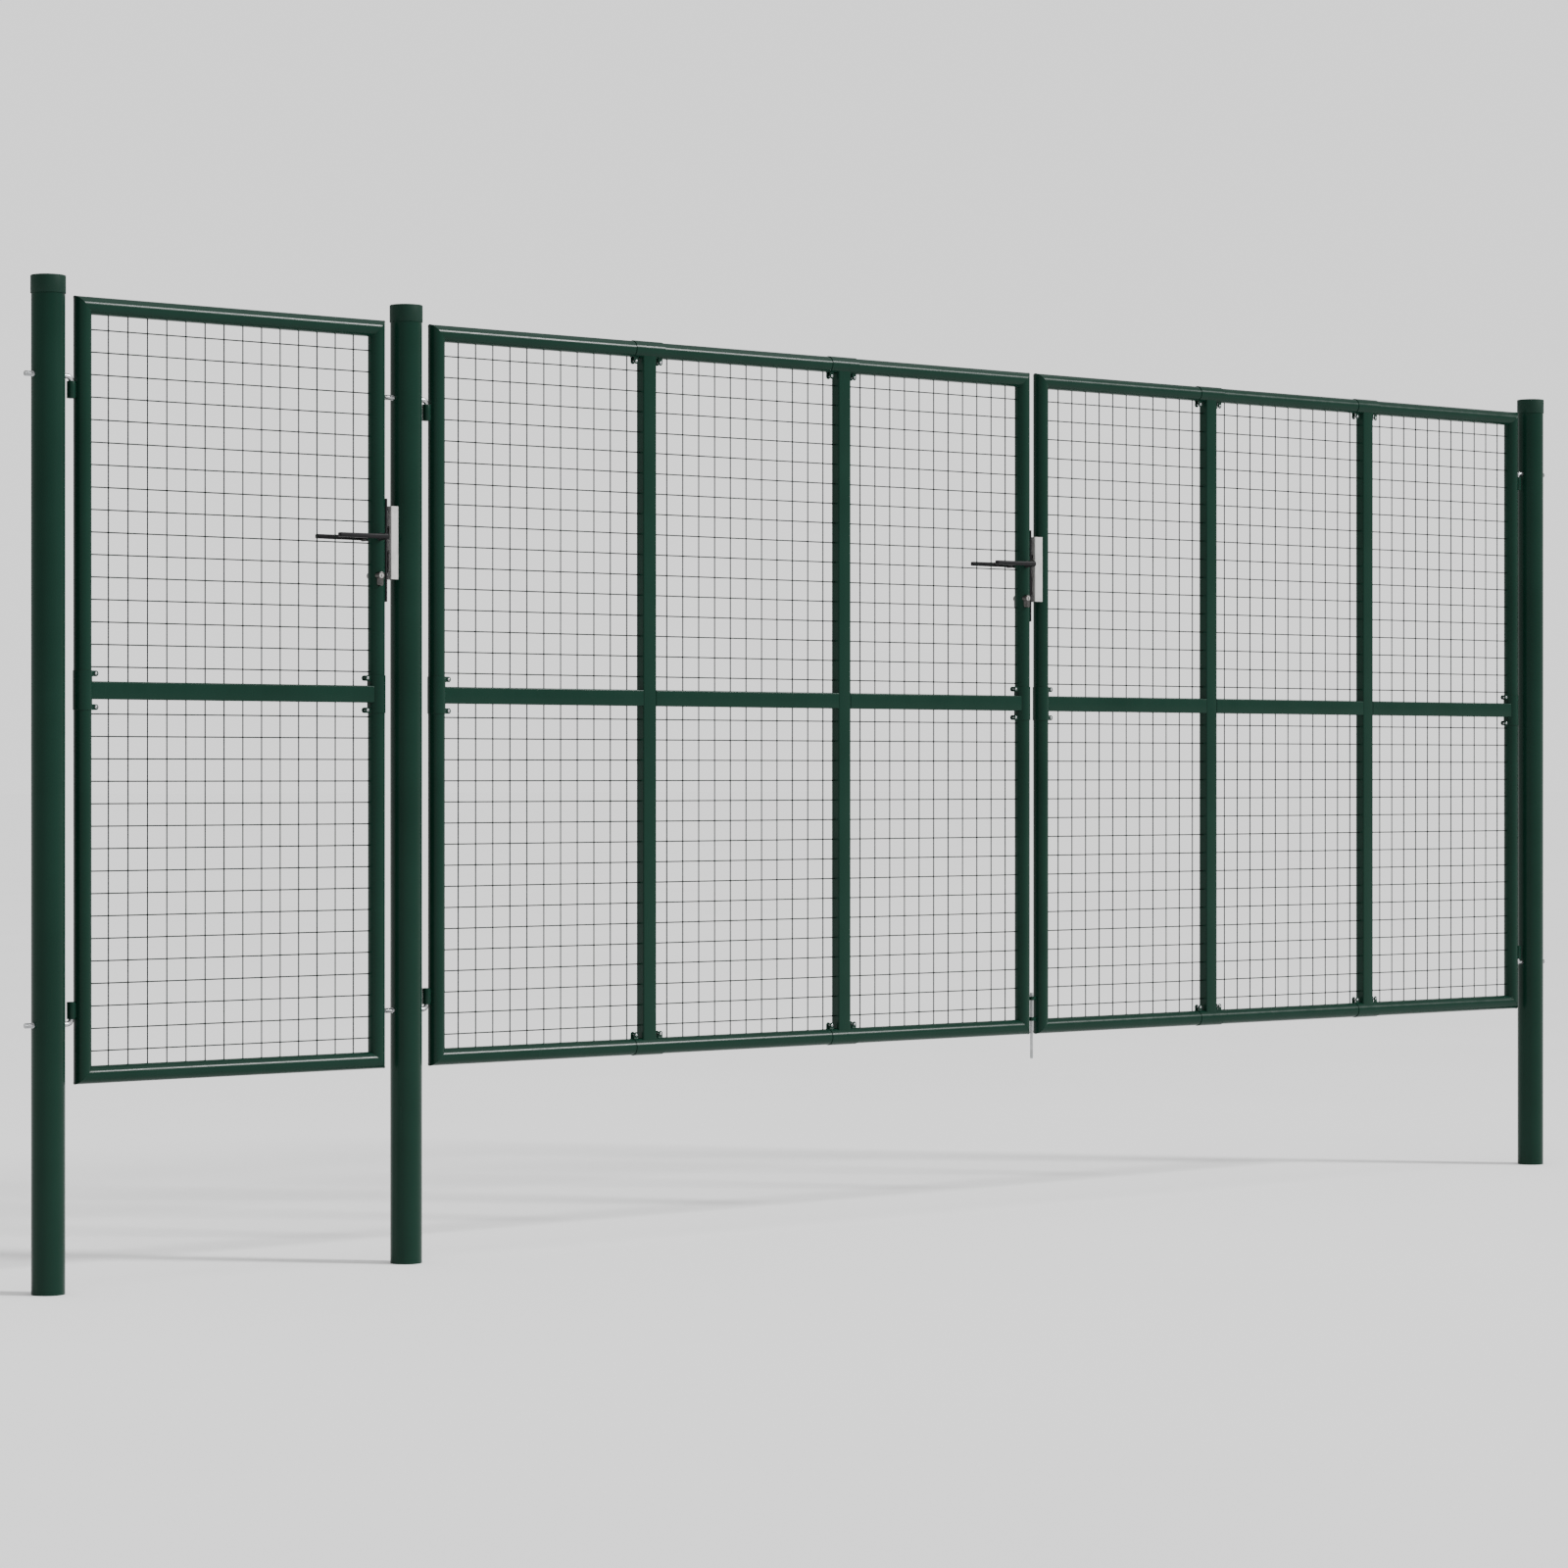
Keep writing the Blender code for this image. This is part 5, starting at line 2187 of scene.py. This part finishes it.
# ---------------------------------------------------------------------------------------------
# The whole gate set
# ---------------------------------------------------------------------------------------------


@dataclass
class Leaf:
    """One leaf with its frame, bars, mesh and hinges.

    Attributes:
        name: Name in the nodes.
        body: Name of its body.
        post: Name of the post that it hangs on.
        bays: Number of bays side by side.
        lock_tag: Name of its lock in the bodies, or nothing where it has none.
    """

    name: str
    body: str
    post: str
    bays: int
    lock_tag: str = ""

    def hinge_bolts(self, shop: Workshop) -> list[HingeBolt]:
        """Its two hinge bolts.

        Args:
            shop: The workshop, which knows the joints.

        Returns:
            The lower and the upper bolt.
        """
        pin_x = shop.joints[f"{self.body}_swing"]["pos_m"][0]
        post_x = mid(f"post_{self.post}", Along.X)
        return [HingeBolt(self.name, position, pin_x, post_x) for position in ("lower", "upper")]

    def build(self, shop: Workshop) -> None:
        """Makes everything that swings with the leaf, and its hinge bolts.

        Args:
            shop: Where the pieces are dressed.
        """
        frame = LeafFrame(self.name, self.body)
        lock = GateLock(self.name, self.lock_tag, self.body, frame) if self.lock_tag else None
        frame.build(shop, (lambda stile: lock.prepare_stile(stile, shop)) if lock else None)
        bars = InnerBars(frame, self.bays - 1)
        bars.build(shop)
        Saddle(frame.radius).build(shop, bars)
        for storey in ("lower", "upper"):
            for bay in range(self.bays):
                suffix = f"_{bay + 1}" if self.bays > 1 else ""
                MeshPanel(f"{self.name}_mesh_{storey}{suffix}", self.body).build(shop)
        for bolt in self.hinge_bolts(shop):
            bolt.build(shop)
            Knuckle(self.body, bolt, frame.hinge_x).build(shop, frame.radius)
        if lock:
            lock.build(shop)
        else:
            DropBolt(frame).build(shop)
            self.build_keep(shop, frame)

    def build_keep(self, shop: Workshop, frame: LeafFrame) -> None:
        """Makes the keep on the free stile, for the other leaf's lock.

        Args:
            shop: Where it is dressed.
            frame: The leaf's frame.
        """
        latch, dead = bolt_heights("leaf_a")
        Keep(f"{self.name}_keep", self.body, frame.free_x, frame.radius, latch, dead).build(shop)


def bolt_heights(leaf: str) -> tuple[float, float]:
    """Heights of the middles of a lock's latch and dead bolt.

    Args:
        leaf: Name of the lock's leaf in the nodes.

    Returns:
        The latch's height and the dead bolt's.
    """
    return mid(f"{leaf}_latch_bolt", Along.Z), mid(f"{leaf}_dead_bolt", Along.Z)


LEAVES = (
    Leaf("single", "leaf_single", "left", 1, "single"),
    Leaf("leaf_a", "leaf_a", "middle", 3, "a"),
    Leaf("leaf_b", "leaf_b", "right", 3),
)


def build_posts(shop: Workshop) -> None:
    """Makes the three posts, their caps and the keep on the middle one.

    Args:
        shop: Where they are dressed.
    """
    for leaf in LEAVES:
        heights = tuple(bolt.height for bolt in leaf.hinge_bolts(shop))
        Post(leaf.post, heights).build(shop)
    low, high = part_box("post_middle")
    latch, dead = bolt_heights("single")
    Keep("post_keep", "root", (low.x + high.x) / 2, (high.x - low.x) / 2, latch, dead).build(shop)


# ---------------------------------------------------------------------------------------------
# Studio
# ---------------------------------------------------------------------------------------------


@dataclass
class Studio:
    """A pale floor, soft light and the camera.

    Attributes:
        camera_place: Where the camera stands.
        azimuth: Direction that it looks in, in degrees, 0 along +Y and positive to the left.
        lens: Focal length in millimetres.
        shift: Vertical shift of the lens.
        floor_size: Side of the floor.
        sky: Brightness of the surroundings that light the scene.
        backdrop: Brightness of the surroundings as the camera sees them.
        key_from: Direction that the main light comes from.
        key_strength: Strength of the main light.
        key_spread: Its width in degrees.
        floor_colour: Colour of the floor.
        lamp_place: Where the overhead lamp hangs.
        lamp_size: Its width and depth.
        lamp_power: Its power in watts.
        view_depth: How far the camera sees.
    """

    camera_place: Point = (-7.072, -8.244, 1.1504)
    azimuth: float = -39.11
    lens: float = 96.73
    shift: float = -0.00684
    floor_size: float = 400.0
    sky: float = 0.70
    backdrop: float = 1.36
    key_from: Point = (0.56, -0.636, 0.533)
    key_strength: float = 4.2
    key_spread: float = 9.0
    floor_colour: Colour = (0.95, 0.95, 0.95)
    lamp_place: Point = (0.0, -1.0, 6.5)
    lamp_size: tuple[float, float] = (9.0, 3.0)
    lamp_power: float = 120.0
    view_depth: float = 600.0

    def build(self) -> None:
        """Sets up the studio."""
        self.build_floor()
        self.build_sky()
        self.build_key()
        self.build_overhead()
        self.build_camera()

    def build_floor(self) -> None:
        """Lays the floor."""
        floor = primitive("studio_floor", bpy.ops.mesh.primitive_plane_add, size=self.floor_size)
        floor.data.materials.append(StudioFloor("studio_floor_paint", self.floor_colour).make())

    def build_sky(self) -> None:
        """Surrounds the scene with an even light and a pale backdrop."""
        world = bpy.data.worlds.new("studio_surroundings")
        world.use_nodes = True
        bpy.context.scene.world = world
        tree = world.node_tree
        light = tree.nodes["Background"]
        seen = tree.nodes.new("ShaderNodeBackground")
        path = tree.nodes.new("ShaderNodeLightPath")
        mix = tree.nodes.new("ShaderNodeMixShader")
        tree.links.new(path.outputs["Is Camera Ray"], mix.inputs["Fac"])
        shades = ((light, self.sky), (seen, self.backdrop))
        for place, (shade, strength) in enumerate(shades, start=1):
            shade.inputs["Color"].default_value = (1.0, 1.0, 1.0, 1.0)
            shade.inputs["Strength"].default_value = strength
            tree.links.new(shade.outputs["Background"], mix.inputs[place])
        tree.links.new(mix.outputs["Shader"], tree.nodes["World Output"].inputs["Surface"])

    def build_key(self) -> None:
        """Hangs the main light, far off to the front and right."""
        bpy.ops.object.select_all(action="DESELECT")
        bpy.ops.object.light_add(type="SUN", location=Vector(self.key_from) * 10)
        key = bpy.context.view_layer.objects.active
        key.name = "light_key"
        key.rotation_euler = Vector(self.key_from).to_track_quat("Z", "Y").to_euler()
        key.data.energy = self.key_strength
        key.data.angle = math.radians(self.key_spread)

    def build_overhead(self) -> None:
        """Hangs a broad soft light over the gate."""
        bpy.ops.object.select_all(action="DESELECT")
        bpy.ops.object.light_add(type="AREA", location=self.lamp_place)
        lamp = bpy.context.view_layer.objects.active
        lamp.name = "light_overhead"
        lamp.data.shape = "RECTANGLE"
        lamp.data.size, lamp.data.size_y = self.lamp_size
        lamp.data.energy = self.lamp_power

    def build_camera(self) -> None:
        """Places the camera, level and with a small shift."""
        bpy.ops.object.camera_add(
            location=self.camera_place,
            rotation=(math.pi / 2, 0.0, math.radians(self.azimuth)),
        )
        camera = bpy.context.view_layer.objects.active
        camera.name = "studio_camera"
        camera.data.lens = self.lens
        camera.data.shift_y = self.shift
        camera.data.clip_end = self.view_depth
        bpy.context.scene.camera = camera


def main() -> None:
    """Builds the gate set and the studio."""
    logging.basicConfig(level=logging.INFO, format="%(message)s")
    shop = Workshop()
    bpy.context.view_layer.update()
    build_posts(shop)
    for leaf in LEAVES:
        leaf.build(shop)
    Studio().build()


if __name__ == "__main__":
    main()
